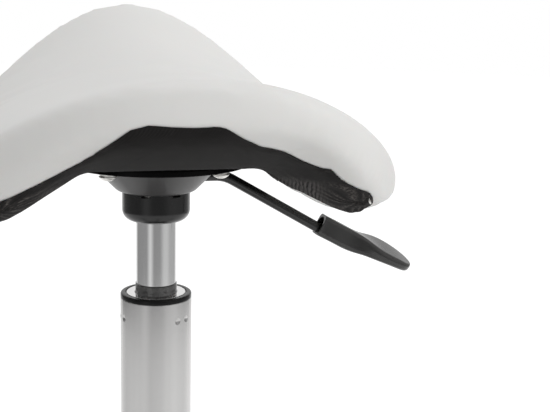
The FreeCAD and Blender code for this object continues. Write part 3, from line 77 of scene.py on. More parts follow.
class Bench:
    """One node tree, with short calls that add its nodes and join them."""

    def __init__(self, tree: bpy.types.NodeTree) -> None:
        """Keeps the tree and empties it."""
        self.tree = tree
        tree.nodes.clear()

    def put(self, node: bpy.types.Node, inputs: dict) -> None:
        """Sets a node's inputs.

        Args:
            node: The node.
            inputs: Values to set or sockets to join, by the input's name or number.
        """
        for key, value in inputs.items():
            if isinstance(value, Socket):
                self.tree.links.new(value, node.inputs[key])
            else:
                node.inputs[key].default_value = value

    def add(self, kind: str, inputs: dict | None = None, **settings: object) -> bpy.types.Node:
        """Adds a node.

        Args:
            kind: The node's type name.
            inputs: Its values or sockets, as for put.
            settings: The node's own settings.

        Returns:
            The new node.
        """
        made = self.tree.nodes.new(kind)
        for name, value in settings.items():
            setattr(made, name, value)
        self.put(made, inputs or {})
        return made

    def reckon(self, operation: str, *values: object) -> Socket:
        """The result of a Math node on up to three numbers or sockets."""
        return self.add("ShaderNodeMath", dict(enumerate(values)), operation=operation).outputs[0]

    def times(self, *values: object) -> Socket:
        """Two numbers or sockets multiplied, with a third one added where it is given."""
        return self.reckon("MULTIPLY_ADD" if len(values) == 3 else "MULTIPLY", *values)

    def noise(self, vector: Socket, scale: object, detail: float = 2.0) -> Socket:
        """A noise's grey value, about 0.5 on average, for a scale in lumps per metre."""
        inputs = {"Vector": vector, "Scale": scale, "Detail": detail}
        return self.add("ShaderNodeTexNoise", inputs).outputs[0]

    def spread(self, value: Socket, low: object, high: object, start: float = 0.3,
               end: float = 0.7) -> Socket:
        """A value mapped from its own range, start to end, onto low to high."""
        inputs = {0: value, 1: start, 2: end, 3: low, 4: high}
        return self.add("ShaderNodeMapRange", inputs).outputs[0]

    def bump(self, height: Socket, strength: float, depth: float, **start: Socket) -> Socket:
        """A normal that follows a relief of a depth in metres, over the Normal where one is given."""
        inputs = {"Height": height, "Strength": strength, "Distance": depth, **start}
        return self.add("ShaderNodeBump", inputs).outputs[0]

    def blend(self, share: object, first: object, second: object) -> Socket:
        """Mixes two colours.

        Args:
            share: How much of the second there is.
            first: A colour of three numbers, or a socket.
            second: A colour of three numbers, or a socket.

        Returns:
            The mixed colour.
        """
        inputs = {0: share, 6: first, 7: second}
        for number, value in inputs.items():
            if isinstance(value, tuple):
                inputs[number] = (*value, 1.0)
        return self.add("ShaderNodeMix", inputs, data_type="RGBA").outputs[2]

    def place(self) -> Socket:
        """The point in the object's own frame."""
        return self.add("ShaderNodeTexCoord").outputs["Object"]

    def axes(self, vector: Socket) -> bpy.types.NodeOutputs:
        """A vector's three parts, by number."""
        return self.add("ShaderNodeSeparateXYZ", {0: vector}).outputs


class Effect(Enum):
    """Effects that more than one finish uses."""

    GRAIN = "moulded_grain"
    THREADS = "crossed_threads"
    STREAKS = "drawn_streaks"
    DUST = "settled_dust"
    EDGES = "worn_edges"


class EffectShelf:
    """Builds each shared effect once, and puts it in a material with that material's values."""

    def __init__(self) -> None:
        """Starts with nothing built."""
        self.built: dict[Effect, bpy.types.NodeTree] = {}

    def use(self, bench: Bench, effect: Effect, inputs: dict[str, object]) -> bpy.types.NodeOutputs:
        """Places an effect in a material.

        Args:
            bench: The material's bench.
            effect: Which effect.
            inputs: Its values by name.

        Returns:
            The effect's outputs, which are read by name.
        """
        makers = {Effect.GRAIN: self.grain, Effect.THREADS: self.threads, Effect.STREAKS: self.streaks,
                  Effect.DUST: self.dust, Effect.EDGES: self.edges}
        if effect not in self.built:
            self.built[effect] = makers[effect]()
        return bench.add("ShaderNodeGroup", inputs, node_tree=self.built[effect]).outputs

    def start(self, effect: Effect, inputs: dict[str, object]) -> tuple:
        """Makes an empty group with its inputs.

        Args:
            effect: Which effect.
            inputs: Each input's name and first value, a number or a vector.

        Returns:
            The bench, the inputs to read by name, and the point in the object's own frame.
        """
        tree = bpy.data.node_groups.new(effect.value, "ShaderNodeTree")
        for name, value in inputs.items():
            kind = "NodeSocketVector" if isinstance(value, tuple) else "NodeSocketFloat"
            socket = tree.interface.new_socket(name=name, in_out="INPUT", socket_type=kind)
            socket.default_value = value
        bench = Bench(tree)
        return bench, bench.add("NodeGroupInput").outputs, bench.place()

    def close(self, bench: Bench, outputs: dict[str, Socket]) -> bpy.types.NodeTree:
        """Gives a group its outputs.

        Args:
            bench: The group's bench.
            outputs: What each output gives, by its name.

        Returns:
            The finished group.
        """
        for name, socket in outputs.items():
            kind = "NodeSocketVector" if socket.type == "VECTOR" else "NodeSocketFloat"
            bench.tree.interface.new_socket(name=name, in_out="OUTPUT", socket_type=kind)
        bench.add("NodeGroupOutput", outputs)
        return bench.tree

    def grain(self) -> bpy.types.NodeTree:
        """Fine pebbles of a moulded or coated face, with broad patches that differ a little.

        Returns:
            The group.
        """
        bench, given, place = self.start(Effect.GRAIN, {"Pebbles": 900.0, "Patches": 18.0})
        cells = bench.add("ShaderNodeTexVoronoi", {"Vector": place, "Scale": given["Pebbles"]})
        fine = bench.noise(place, bench.times(given["Pebbles"], 0.4), 3.0)
        height = bench.times(cells.outputs["Distance"], 0.6, fine)
        tone = bench.spread(bench.noise(place, given["Patches"], 3.0), 0.0, 1.0)
        return self.close(bench, {"Height": height, "Tone": tone})

    def threads(self) -> bpy.types.NodeTree:
        """Slanted threads crossed by finer ones, as on a spun or twilled cloth.

        Returns:
            The group.
        """
        bench, given, place = self.start(Effect.THREADS, {"Threads": 600.0, "Slubs": 60.0})
        axes = bench.axes(place)
        drop = bench.times(axes[2], 0.7)
        across = bench.reckon("ADD", axes[0], drop)
        along = bench.reckon("SUBTRACT", axes[1], drop)
        turn = bench.times(given["Threads"], math.tau)
        weft = bench.reckon("SINE", bench.times(bench.reckon("ADD", across, along), turn))
        cross = bench.times(bench.reckon("SUBTRACT", across, along), turn)
        warp = bench.reckon("SINE", bench.times(cross, 1.6))
        slub = bench.noise(place, given["Slubs"], 4.0)
        height = bench.times(bench.times(warp, 0.4, weft), bench.spread(slub, 0.3, 1.0))
        tone = bench.times(height, 0.25, bench.spread(slub, 0.2, 0.8))
        return self.close(bench, {"Height": height, "Tone": tone})

    def streaks(self) -> bpy.types.NodeTree:
        """Fine streaks along one way, as drawing, turning or polishing leaves on metal.

        Returns:
            The group.
        """
        bench, given, place = self.start(Effect.STREAKS, {"Stretch": (900.0, 900.0, 6.0)})
        stretched = bench.add("ShaderNodeVectorMath", {0: place, 1: given["Stretch"]},
                              operation="MULTIPLY").outputs[0]
        broad = bench.noise(stretched, 0.13)
        height = bench.times(broad, 0.6, bench.noise(stretched, 1.0, 3.0))
        return self.close(bench, {"Height": height, "Tone": bench.spread(broad, 0.0, 1.0)})

    def dust(self) -> bpy.types.NodeTree:
        """A thin film of dust on faces that look upward.

        Returns:
            The group.
        """
        bench, given, place = self.start(Effect.DUST, {"Amount": 0.3, "Patches": 40.0})
        upward = bench.axes(bench.add("ShaderNodeNewGeometry").outputs["Normal"])[2]
        cloud = bench.spread(bench.noise(place, given["Patches"], 5.0), 0.2, 1.0)
        film = bench.times(bench.spread(upward, 0.0, 1.0, 0.1, 0.95), cloud)
        return self.close(bench, {"Mask": bench.times(film, given["Amount"])})

    def edges(self) -> bpy.types.NodeTree:
        """Where a face turns over an edge, and the rounded normal there.

        Returns:
            The group.
        """
        bench, given, place = self.start(Effect.EDGES, {"Reach": 0.0012, "Amount": 1.0})
        rounded = bench.add("ShaderNodeBevel", {"Radius": given["Reach"]}, samples=6).outputs[0]
        normal = bench.add("ShaderNodeNewGeometry").outputs["Normal"]
        alike = bench.add("ShaderNodeVectorMath", {0: rounded, 1: normal}, operation="DOT_PRODUCT")
        turned = bench.spread(alike.outputs["Value"], 1.0, 0.0, 0.75, 0.995)
        worn = bench.times(turned, bench.spread(bench.noise(place, 220.0, 4.0), 0.35, 1.0))
        return self.close(bench, {"Mask": bench.times(worn, given["Amount"]), "Normal": rounded})


# Finishes


def new_material(name: str) -> tuple[bpy.types.Material, Bench]:
    """Makes a material without nodes.

    Args:
        name: The material's name.

    Returns:
        The material and its bench.
    """
    material = bpy.data.materials.new(name)
    material.use_nodes = True
    return material, Bench(material.node_tree)


@dataclass(frozen=True)
class Layers:
    """What a finish has over its base colour.

    Attributes:
        effect: The effect that its tone, gloss and relief follow.
        pattern: That effect's values.
        gloss: The lowest and highest roughness.
        strength: How strong the relief shows.
        depth: The relief's real depth.
        dust: The dust's values.
        dusty: The dust's colour.
        tones: The darkest and lightest tone, as shares of the base colour.
        worn: The colour of rubbed edges, or None for a face that has none.
        reach: How far in from an edge it is rubbed.
        rubbed: How much it is rubbed.
        shading: Other values of the shader, the same all over.
    """

    effect: Effect
    pattern: dict[str, object]
    gloss: tuple[float, float]
    strength: float
    depth: float
    dust: dict[str, float]
    dusty: Colour
    tones: tuple[float, float] = (0.9, 1.1)
    worn: Colour | None = None
    reach: float = 0.0008
    rubbed: float = 0.0
    shading: dict[str, float] = field(default_factory=dict)


@dataclass(frozen=True)
class Finish:
    """A finish: its name, base colour and gloss, and how to make its material."""

    name: str
    colour: Colour
    roughness: float

    def begin(self) -> tuple[bpy.types.Material, Bench, bpy.types.Node]:
        """Starts a material with a Principled shader on its output.

        Returns:
            The material, its bench and the shader node.
        """
        material, bench = new_material(self.name)
        inputs = {"Base Color": (*self.colour, 1.0), "Roughness": self.roughness}
        shader = bench.add("ShaderNodeBsdfPrincipled", inputs)
        bench.add("ShaderNodeOutputMaterial", {0: shader.outputs[0]})
        return material, bench, shader

    def toned(self, factor: float) -> Colour:
        """The base colour, lighter or darker by a factor."""
        return tuple(min(1.0, part * factor) for part in self.colour)

    def near(self, lower: float, higher: float) -> tuple[float, float]:
        """A range of roughness round the finish's own."""
        return self.roughness - lower, self.roughness + higher

    def layers(self) -> Layers:
        """What the finish has over its base colour."""
        raise NotImplementedError

    def make(self, shelf: EffectShelf) -> bpy.types.Material:
        """Makes the material: a pattern, then rubbed edges, then dust.

        Args:
            shelf: The shared effects.

        Returns:
            The finished material.
        """
        material, bench, shader = self.begin()
        layers = self.layers()
        pattern = shelf.use(bench, layers.effect, layers.pattern)
        dust = shelf.use(bench, Effect.DUST, layers.dust)
        dark, light = layers.tones
        colour = bench.blend(pattern["Tone"], self.toned(dark), self.toned(light))
        start = {}
        if layers.worn:
            wear = shelf.use(bench, Effect.EDGES, {"Reach": layers.reach, "Amount": layers.rubbed})
            colour = bench.blend(wear["Mask"], colour, layers.worn)
            start["Normal"] = wear["Normal"]
        bench.put(shader, layers.shading | {
            "Base Color": bench.blend(dust["Mask"], colour, layers.dusty),
            "Roughness": bench.spread(pattern["Tone"], *layers.gloss, 0.0, 1.0),
            "Normal": bench.bump(pattern["Height"], layers.strength, layers.depth, **start)})
        return material


@dataclass(frozen=True)
class CoatedFabric(Finish):
    """Smooth coated upholstery with a fine pebble grain and a soft sheen."""

    pebbles: float = 1100.0
    depth: float = 0.00012

    def layers(self) -> Layers:
        """A faint grain, a soft sheen and little dust.

        Returns:
            The layers.
        """
        return Layers(Effect.GRAIN, {"Pebbles": self.pebbles, "Patches": 9.0}, self.near(0.03, 0.04),
                      strength=0.25, depth=self.depth, dust={"Amount": 0.05, "Patches": 30.0},
                      dusty=self.toned(0.9), tones=(0.985, 1.012),
                      shading={"Sheen Weight": 0.06, "Sheen Roughness": 0.5,
                               "Subsurface Weight": 0.04, "Subsurface Scale": 0.002})


@dataclass(frozen=True)
class Enamel(Finish):
    """Sprayed enamel on steel: glossy, with a slight orange peel and a few dust nibs."""

    coat: float
    specular: float = 0.5
    peel: float = 160.0

    def layers(self) -> Layers:
        """Orange peel, a clear coat, and edges that show a little steel.

        Returns:
            The layers.
        """
        return Layers(Effect.GRAIN, {"Pebbles": self.peel, "Patches": 35.0}, self.near(0.03, 0.05),
                      strength=0.08, depth=0.0002, dust={"Amount": 0.05}, dusty=(0.3, 0.29, 0.28),
                      worn=(0.16, 0.155, 0.15), rubbed=0.12,
                      shading={"Specular IOR Level": self.specular, "Coat Weight": self.coat,
                               "Coat Roughness": 0.08})


@dataclass(frozen=True)
class Metal(Finish):
    """Bare or plated metal with streaks that follow how it was worked."""

    stretch: Point
    streak: float
    depth: float = 0.00004

    def layers(self) -> Layers:
        """Streaks one way, and brighter edges.

        Returns:
            The layers.
        """
        return Layers(Effect.STREAKS, {"Stretch": self.stretch},
                      (self.roughness * 0.85, self.roughness * 1.2), strength=0.12, depth=self.depth,
                      dust={"Amount": 0.06}, dusty=(0.42, 0.41, 0.4),
                      tones=(1.0 - self.streak, 1.0 + self.streak), worn=self.toned(1.25), rubbed=0.5,
                      shading={"Metallic": 1.0})


@dataclass(frozen=True)
class Moulded(Finish):
    """Moulded plastic or rubber with a fine spark grain and lightly rubbed edges."""

    pebbles: float = 1400.0
    depth: float = 0.00008
    rubbed: float = 0.25
    specular: float = 0.5

    def layers(self) -> Layers:
        """A spark grain, and edges that are rubbed pale.

        Returns:
            The layers.
        """
        return Layers(Effect.GRAIN, {"Pebbles": self.pebbles, "Patches": 30.0}, self.near(0.04, 0.05),
                      strength=0.2, depth=self.depth, dust={"Amount": 0.08}, dusty=(0.33, 0.32, 0.31),
                      worn=tuple(part * 0.6 + 0.12 for part in self.colour), reach=0.0009,
                      rubbed=self.rubbed, shading={"Specular IOR Level": self.specular})


@dataclass(frozen=True)
class SpunCloth(Finish):
    """Thin black dust cloth with slanted threads, lint, and fine ribs where it is drawn together, with a
    painted highlight over the ribbed band and painted shade in its grooves.
    """

    threads: float = 520.0
    # The lighter colour painted on the tops of the folds.
    fold_top_colour: Colour = (0.11, 0.10, 0.094)
    rib_pitch: float = 0.0025
    rib_slant: tuple[float, float] = (0.956, -0.293)
    rib_wander: float = 0.004
    rib_depth: float = 0.0009
    thread_depth: float = 0.0003

    def make(self, shelf: EffectShelf) -> bpy.types.Material:
        """Makes the cloth's material.

        Args:
            shelf: The shared effects.

        Returns:
            The finished material.
        """
        material, bench, shader = self.begin()
        place = bench.place()
        weave = shelf.use(bench, Effect.THREADS, {"Threads": self.threads, "Slubs": 45.0})
        colour = bench.blend(weave["Tone"], self.toned(0.62), self.toned(1.35))
        lint = bench.add("ShaderNodeTexNoise", {"Vector": place, "Scale": 700.0, "Detail": 6.0,
                                                "Distortion": 2.0}).outputs[0]
        linted = bench.blend(bench.spread(lint, 0.0, 0.5, 0.66, 0.8), colour, self.toned(2.6))
        ribs, painted_groove_shade, painted_rib_highlight = self.ribs(bench, place)
        # Painted highlight: the whole ribbed band is painted lighter, standing in for light on the rib
        # crests.
        drawn = bench.blend(painted_rib_highlight, linted, self.toned(7.0))
        # The tops of the folds are painted lighter, in the fold-top colour.
        tops = bench.add("ShaderNodeAttribute", attribute_name="fold_tops").outputs["Fac"]
        broken = bench.spread(bench.noise(place, 620.0, 4.0), 0.0, 1.0, 0.40, 0.62)
        worn = bench.blend(bench.times(tops, broken), drawn, self.fold_top_colour)
        ribbed = bench.bump(ribs, 1.0, self.rib_depth)
        bench.put(shader, {
            # Painted shade: the rib grooves are painted darker.
            "Base Color": bench.blend(painted_groove_shade, worn, self.toned(0.25)),
            "Normal": bench.bump(weave["Height"], 0.35, self.thread_depth, Normal=ribbed),
            "Sheen Weight": 0.015, "Sheen Roughness": 0.6, "Specular IOR Level": 0.1})
        return material

    def ribs(self, bench: Bench, place: Socket) -> tuple[Socket, Socket, Socket]:
        """Fine ribs where the mesh's mask says that the cloth is drawn together.

        Args:
            bench: The material's bench.
            place: The point in the object's own frame.

        Returns:
            The ribs' height, how much painted shade each point gets in a groove, and how much painted
            highlight it gets over the ribbed band.
        """
        mask = bench.add("ShaderNodeAttribute", attribute_name="ribs").outputs["Fac"]
        axes = bench.axes(place)
        side = bench.times(bench.reckon("ABSOLUTE", axes[0]), self.rib_slant[0])
        across = bench.times(axes[1], self.rib_slant[1], side)
        wander = bench.times(bench.noise(place, 55.0), self.rib_wander)
        turn = bench.times(bench.reckon("ADD", across, wander), math.tau / self.rib_pitch)
        wave = bench.spread(bench.reckon("SINE", turn), 0.0, 1.0, -0.8, 0.8)
        broken = bench.spread(bench.noise(place, 130.0, 3.0), 0.45, 1.0, 0.35, 0.6)
        height = bench.times(bench.times(wave, broken), mask)
        # Painted shade in the grooves, and a painted highlight over the whole ribbed band.
        painted_groove_shade = bench.times(bench.spread(wave, 1.0, 0.0, 0.0, 0.5), mask)
        return height, bench.times(painted_groove_shade, broken), bench.times(mask, broken)


@dataclass(frozen=True)
class LaidPlywood(Finish):
    """Moulded birch plywood: long grain on the faces and thin plies at the edge."""

    plies: float = 700.0

    def make(self, shelf: EffectShelf) -> bpy.types.Material:
        """Makes the board's material.

        Args:
            shelf: The shared effects.

        Returns:
            The finished material.
        """
        material, bench, shader = self.begin()
        grain = shelf.use(bench, Effect.STREAKS, {"Stretch": (260.0, 14.0, 260.0)})
        layer = bench.reckon("SINE", bench.times(bench.axes(bench.place())[2], self.plies * math.tau))
        tone = bench.times(layer, 0.2, grain["Tone"])
        bench.put(shader, {"Base Color": bench.blend(tone, self.toned(0.7), self.toned(1.15)),
                           "Normal": bench.bump(grain["Height"], 0.3, 0.0002)})
        return material


class Palette(Enum):
    """Every finish on the stool."""

    WHITE_UPHOLSTERY = CoatedFabric("white_upholstery", (0.74, 0.735, 0.72), 0.5)
    BLACK_CLOTH = SpunCloth("black_cloth", (0.0148, 0.0139, 0.0136), 0.9)
    PLYWOOD = LaidPlywood("plywood", (0.55, 0.38, 0.22), 0.6)
    BLACK_ENAMEL = Enamel("black_enamel", (0.0015, 0.0015, 0.0015), 0.25, coat=0.0, specular=0.08)
    ROD_ENAMEL = Enamel("rod_enamel", (0.0035, 0.0034, 0.0033), 0.26, coat=0.05)
    GREY_ENAMEL = Enamel("grey_enamel", (0.034, 0.033, 0.033), 0.4, coat=0.15)
    ZINC_STEEL = Metal("zinc_steel", (0.72, 0.71, 0.68), 0.3, (300.0, 300.0, 300.0), 0.05)
    CHROME = Metal("chrome", (0.8, 0.8, 0.8), 0.12, (700.0, 700.0, 5.0), 0.02, 0.00001)
    SATIN_STEEL = Metal("satin_steel", (0.48, 0.476, 0.472), 0.23, (420.0, 420.0, 5.0), 0.16, 0.00003)
    BRIGHT_RING = Metal("bright_ring", (0.72, 0.715, 0.71), 0.09, (60.0, 60.0, 400.0), 0.12, 0.00006)
    CAST_STEEL = Metal("cast_steel", (0.62, 0.615, 0.605), 0.34, (160.0, 160.0, 220.0), 0.05, 0.00008)
    BLACK_PLASTIC = Moulded("black_plastic", (0.022, 0.0215, 0.021), 0.42)
    PADDLE_PLASTIC = Moulded("paddle_plastic", (0.024, 0.0235, 0.023), 0.24)
    CAP_PLASTIC = Moulded("cap_plastic", (0.007, 0.007, 0.007), 0.22, 500.0, 0.00003, 0.08, 0.45)
    GLOSS_PLASTIC = Moulded("gloss_black_plastic", (0.004, 0.004, 0.004), 0.14, 300.0, 0.00003, 0.05, 0.2)
    BEARING_PLASTIC = Moulded("bearing_plastic", (0.62, 0.58, 0.48), 0.4)
    LIP_RUBBER = Moulded("lip_rubber", (0.07, 0.068, 0.067), 0.14, 420.0, 0.002, 0.1, 1.0)
    BUFFER_RUBBER = Moulded("buffer_rubber", (0.015, 0.015, 0.015), 0.75)
    WHEEL_NYLON = Moulded("wheel_nylon", (0.03, 0.03, 0.031), 0.36)


class Paintbox:
    """Makes each finish once and puts it on pieces and nodes."""

    def __init__(self) -> None:
        """Starts with no material made."""
        self.shelf = EffectShelf()
        self.made: dict[Palette, bpy.types.Material] = {}

    def paint(self, piece: bpy.types.Object, choice: Palette) -> None:
        """Gives a piece one finish all over, made when it is first used.

        Args:
            piece: The mesh object.
            choice: Its finish.
        """
        if choice not in self.made:
            self.made[choice] = choice.value.make(self.shelf)
        piece.data.materials.clear()
        piece.data.materials.append(self.made[choice])
        LOG.info("%s: %s", piece.name, choice.value.name)


# Mesh helpers


def mesh_piece(name: str, points: np.ndarray, faces: list) -> bpy.types.Object:
    """Makes a smooth-shaded mesh object.

    Args:
        name: The piece's name.
        points: Its vertices, one row each.
        faces: Its faces as lists of vertex numbers.

    Returns:
        The new object, in the scene.
    """
    mesh = bpy.data.meshes.new(name)
    mesh.from_pydata([tuple(map(float, point)) for point in points], [], faces)
    mesh.update()
    mesh.shade_smooth()
    piece = bpy.data.objects.new(name, mesh)
    bpy.context.scene.collection.objects.link(piece)
    return piece


def points_of(mesh: bpy.types.Mesh) -> np.ndarray:
    """The mesh's vertices, one row each.

    Args:
        mesh: The mesh.

    Returns:
        Their places.
    """
    flat = np.zeros(len(mesh.vertices) * 3, np.float32)
    mesh.vertices.foreach_get("co", flat)
    return flat.reshape(-1, 3).astype(float)


def normals_of(mesh: bpy.types.Mesh) -> np.ndarray:
    """The normals at the mesh's vertices, one row each."""
    return np.array([vertex.normal for vertex in mesh.vertices], float)


def set_points(piece: bpy.types.Object, points: np.ndarray) -> None:
    """Moves the mesh's vertices to new places."""
    piece.data.vertices.foreach_set("co", points.astype(np.float32).ravel())
    piece.data.update()


def settle(piece: bpy.types.Object) -> None:
    """Applies the piece's modifiers to its mesh.

    Args:
        piece: The mesh object.
    """
    graph = bpy.context.evaluated_depsgraph_get()
    shaped = bpy.data.meshes.new_from_object(piece.evaluated_get(graph))
    worn_out = piece.data
    piece.modifiers.clear()
    piece.data = shaped
    bpy.data.meshes.remove(worn_out)
    shaped.shade_smooth()


def smooth_step(value: np.ndarray, start: float, span: float) -> np.ndarray:
    """0 at the start and 1 a span later, with a smooth turn between."""
    share = np.clip((value - start) / span, 0.0, 1.0)
    return share * share * (3.0 - 2.0 * share)


def bell(offset: np.ndarray) -> np.ndarray:
    """1 at no offset, fading smoothly on both sides."""
    return np.exp(-offset ** 2)


def loop_faces(rings: int, around: int) -> list[list[int]]:
    """Four-sided faces that join closed rings of points.

    Args:
        rings: How many rings there are.
        around: How many points each has.

    Returns:
        The faces.
    """
    faces = []
    for ring in range(rings - 1):
        for step in range(around):
            first, after = ring * around + step, ring * around + (step + 1) % around
            faces.append([first, after, after + around, first + around])
    return faces


def level_ring(around: int, radius: float, height: float) -> np.ndarray:
    """A level ring of points round the column's axis."""
    turns = np.linspace(0.0, math.tau, around, endpoint=False)
    return np.stack([np.sin(turns) * radius, np.cos(turns) * radius, np.full(around, height)], axis=1)


@dataclass(frozen=True)
class FlankArea:
    """A soft area in plan on both flanks of the seat: its middle, and its reach each way."""

    x: float
    y: float
    reach_x: float
    reach_y: float

    def share(self, points: np.ndarray) -> np.ndarray:
        """How far points belong to the area, from 0 to 1."""
        across = (np.abs(points[:, 0]) - self.x) / self.reach_x
        return np.exp(-(across ** 2 + ((points[:, 1] - self.y) / self.reach_y) ** 2))


# The seat


@dataclass(frozen=True)
class SaddleForm:
    """The saddle's outer form above the seat plate: outline, ridge, slopes and underside."""

    plate_height: float = 0.41
    half_length: float = 0.1636
    centre: float = -0.0124
    half_width: float = 0.1687
    outline_length_share: float = 2.82
    outline_width_share: float = 0.42
    widening: float = 0.167
    widening_centre: float = 0.2
    pommel: float = 0.0589
    waist: float = 0.0382
    cantle: float = 0.0908
    waist_offset: float = 0.0227
    crown_span: float = 0.09375
    front_slope: float = 0.38
    waist_slope: float = 0.636
    rear_slope: float = 1.10
    rise: float = 0.0269
    front_rise: float = 0.0212
    step_offset: float = 0.09
    step_span: float = 0.04
    skin: float = 0.0055
    under_front: float = 0.0284
    under_rear: float = 0.0606
    under_flat: float = 0.0564
    under_curve: float = 1.5
    flap_drop: float = 0.0374
    flap_start: float = 0.05
    flap_span: float = 0.0755
    side_round: float = 0.641
    rim_round: float = 0.541
    end_round: float = 0.35
    flat_share: float = 0.3
    least_width: float = 1e-6

    def width_at(self, reach: np.ndarray) -> np.ndarray:
        """Half the outline's width at a share of the half length, from -1 at the front to 1.

        Args:
            reach: Share of the half length, from -1 at the front to 1.

        Returns:
            The half widths.
        """
        closing = np.maximum(0.0, 1.0 - np.abs(reach) ** self.outline_length_share)
        widening = 1.0 + self.widening * (reach - self.widening_centre)
        return self.half_width * closing ** self.outline_width_share * widening

    def middle(self, x: np.ndarray, y: np.ndarray) -> np.ndarray:
        """Height of the rim's surface above the plate's underside.

        Args:
            x: Places across, from the middle.
            y: Places along, from the column's axis to the rear.

        Returns:
            The heights.
        """
        ahead = self.waist_offset - self.centre + self.half_length
        behind = self.centre + self.half_length - self.waist_offset
        front = np.maximum(0.0, (self.waist_offset - y) / ahead)
        rear = np.maximum(0.0, (y - self.waist_offset) / behind)
        ridge = self.waist + (self.pommel - self.waist) * front ** 2 + (self.cantle - self.waist) * rear ** 2
        share = (y - self.centre) / self.half_length
        end = np.where(share < 0.0, self.front_slope, self.rear_slope)
        slope = self.waist_slope + (end - self.waist_slope) * share ** 2
        return ridge - slope * self.crown_span * (np.sqrt(1.0 + (x / self.crown_span) ** 2) - 1.0)

    def under(self, x: np.ndarray, y: np.ndarray) -> np.ndarray:
        """Height of the underside, away from the rim, above the plate's underside.

        Args:
            x: Places across, from the middle.
            y: Places along, from the column's axis to the rear.

        Returns:
            The heights.
        """
        front = np.maximum(0.0, (-self.under_flat - y) / (self.half_length - self.centre - self.under_flat))
        rear = np.maximum(0.0, (y - self.under_flat) / (self.centre + self.half_length - self.under_flat))
        drop = self.flap_drop * smooth_step(np.abs(x), self.flap_start, self.flap_span)
        lift = self.under_front * front ** self.under_curve + self.under_rear * rear ** self.under_curve
        return self.skin + lift - drop

    def thickness(self, y: np.ndarray) -> np.ndarray:
        """How far the pad's top stands above the rim's surface."""
        step = (1.0 + np.tanh((y + self.step_offset) / self.step_span)) / 2.0
        return self.front_rise + (self.rise - self.front_rise) * step

    def end_closing(self, reach: np.ndarray) -> np.ndarray:
        """How full the sections are, from 0 at the two ends to 1 halfway."""
        return np.sqrt(np.maximum(0.0, 1.0 - reach ** 2)) ** self.end_round

    def rounding(self, reach: np.ndarray, side: np.ndarray) -> np.ndarray:
        """How full the form is, from 0 at the rim to 1 well inside it."""
        turn = np.arccos(np.clip(np.abs(side), 0.0, 1.0) ** (1.0 / self.side_round))
        return self.end_closing(reach) * np.sin(turn) ** self.rim_round

    def top_point(self, reach: np.ndarray, side: np.ndarray) -> np.ndarray:
        """A point of the top, from its share along and its share across.

        Args:
            reach: Share of the half length, from -1 at the front to 1.
            side: Share of the half width there, from -1 to 1.

        Returns:
            The points.
        """
        x, y = side * self.width_at(reach), self.centre + self.half_length * reach
        z = self.middle(x, y) + self.thickness(y) * self.rounding(reach, side)
        return np.stack([x, y, z + self.plate_height], axis=-1)

    def bottom_point(self, reach: np.ndarray, side: np.ndarray) -> np.ndarray:
        """A point of the underside, from its share along and its share across.

        Args:
            reach: Share of the half length, from -1 at the front to 1.
            side: Share of the half width there, from -1 to 1.

        Returns:
            The points.
        """
        x, y = side * self.width_at(reach), self.centre + self.half_length * reach
        flat = np.abs(side) <= self.flat_share
        full = np.where(flat, self.end_closing(reach), self.rounding(reach, side))
        level = self.middle(x, y)
        z = level - (level - self.under(x, y)) * full
        return np.stack([x, y, z + self.plate_height], axis=-1)

    def bottom_at(self, x: np.ndarray, y: np.ndarray) -> np.ndarray:
        """The underside's height over a place in plan, inside the outline.

        Args:
            x: Places across, from the middle.
            y: Places along, from the column's axis to the rear.

        Returns:
            The heights.
        """
        reach = np.clip((y - self.centre) / self.half_length, -1.0, 1.0)
        width = np.maximum(self.width_at(reach), self.least_width)
        return self.bottom_point(reach, np.clip(x / width, -1.0, 1.0))[..., 2]

    def outline(self, angles: np.ndarray, stations: int = 2001) -> np.ndarray:
        """Distance from the form's centre to its outline in plan.

        Args:
            angles: Directions in plan, 0 to the front and growing to the lever's side.
            stations: How many places of the outline are worked out.

        Returns:
            The distances.
        """
        reach = np.sin(np.linspace(-math.pi / 2.0, math.pi / 2.0, stations))
        x, y = self.width_at(reach), self.half_length * reach
        return np.interp(np.abs(angles), np.arctan2(x, -y), np.hypot(x, y))

    def inset_after(self, angles: np.ndarray, runs: np.ndarray, deepest: float = 0.12,
                    stations: int = 240) -> np.ndarray:
        """How far inside the outline a line lies that runs under the pad from its fullest line.

        Args:
            angles: Directions in plan, as for the outline.
            runs: How far the line is followed down and under the pad, for each direction.
            deepest: The furthest inset that is looked at.
            stations: How many insets are looked at.

        Returns:
            The insets in plan.
        """
        insets = deepest * np.linspace(0.0, 1.0, stations) ** 3
        reach = self.outline(angles)[:, None] - insets[None, :]
        x, y = np.sin(angles)[:, None] * reach, self.centre - np.cos(angles)[:, None] * reach
        steps = np.hypot(np.diff(insets)[None, :], np.diff(self.bottom_at(x, y), axis=1))
        lengths = np.concatenate([np.zeros((len(angles), 1)), np.cumsum(steps, axis=1)], axis=1)
        return np.array([np.interp(run, line, insets) for run, line in zip(runs, lengths)])


class Bedding:
    """The surfaces that something is laid on, and where the first of them is met."""

    def __init__(self, *pieces: bpy.types.Object) -> None:
        """Gathers the surfaces.

        Args:
            pieces: The mesh objects that carry what is laid.
        """
        points, faces = [], []
        for piece in pieces:
            first = len(points)
            points.extend(tuple(vertex.co) for vertex in piece.data.vertices)
            faces.extend([first + index for index in face.vertices] for face in piece.data.polygons)
        self.tree = BVHTree.FromPolygons(points, faces)

    def meet(self, points: np.ndarray, outward: np.ndarray, reach: float) -> np.ndarray:
        """Moves points along their outward ways onto the outermost surface near them.

        Args:
            points: Places near the surfaces, one row each.
            outward: The way off the surface at each of them.
            reach: How far off the search starts.

        Returns:
            The places on the surface; a point that meets nothing stays.
        """
        met = points.copy()
        for index, (point, way) in enumerate(zip(points, outward)):
            hit = self.tree.ray_cast(Vector(point + way * reach), Vector(-way), 2.0 * reach)[0]
            if hit is not None:
                met[index] = hit
        return met


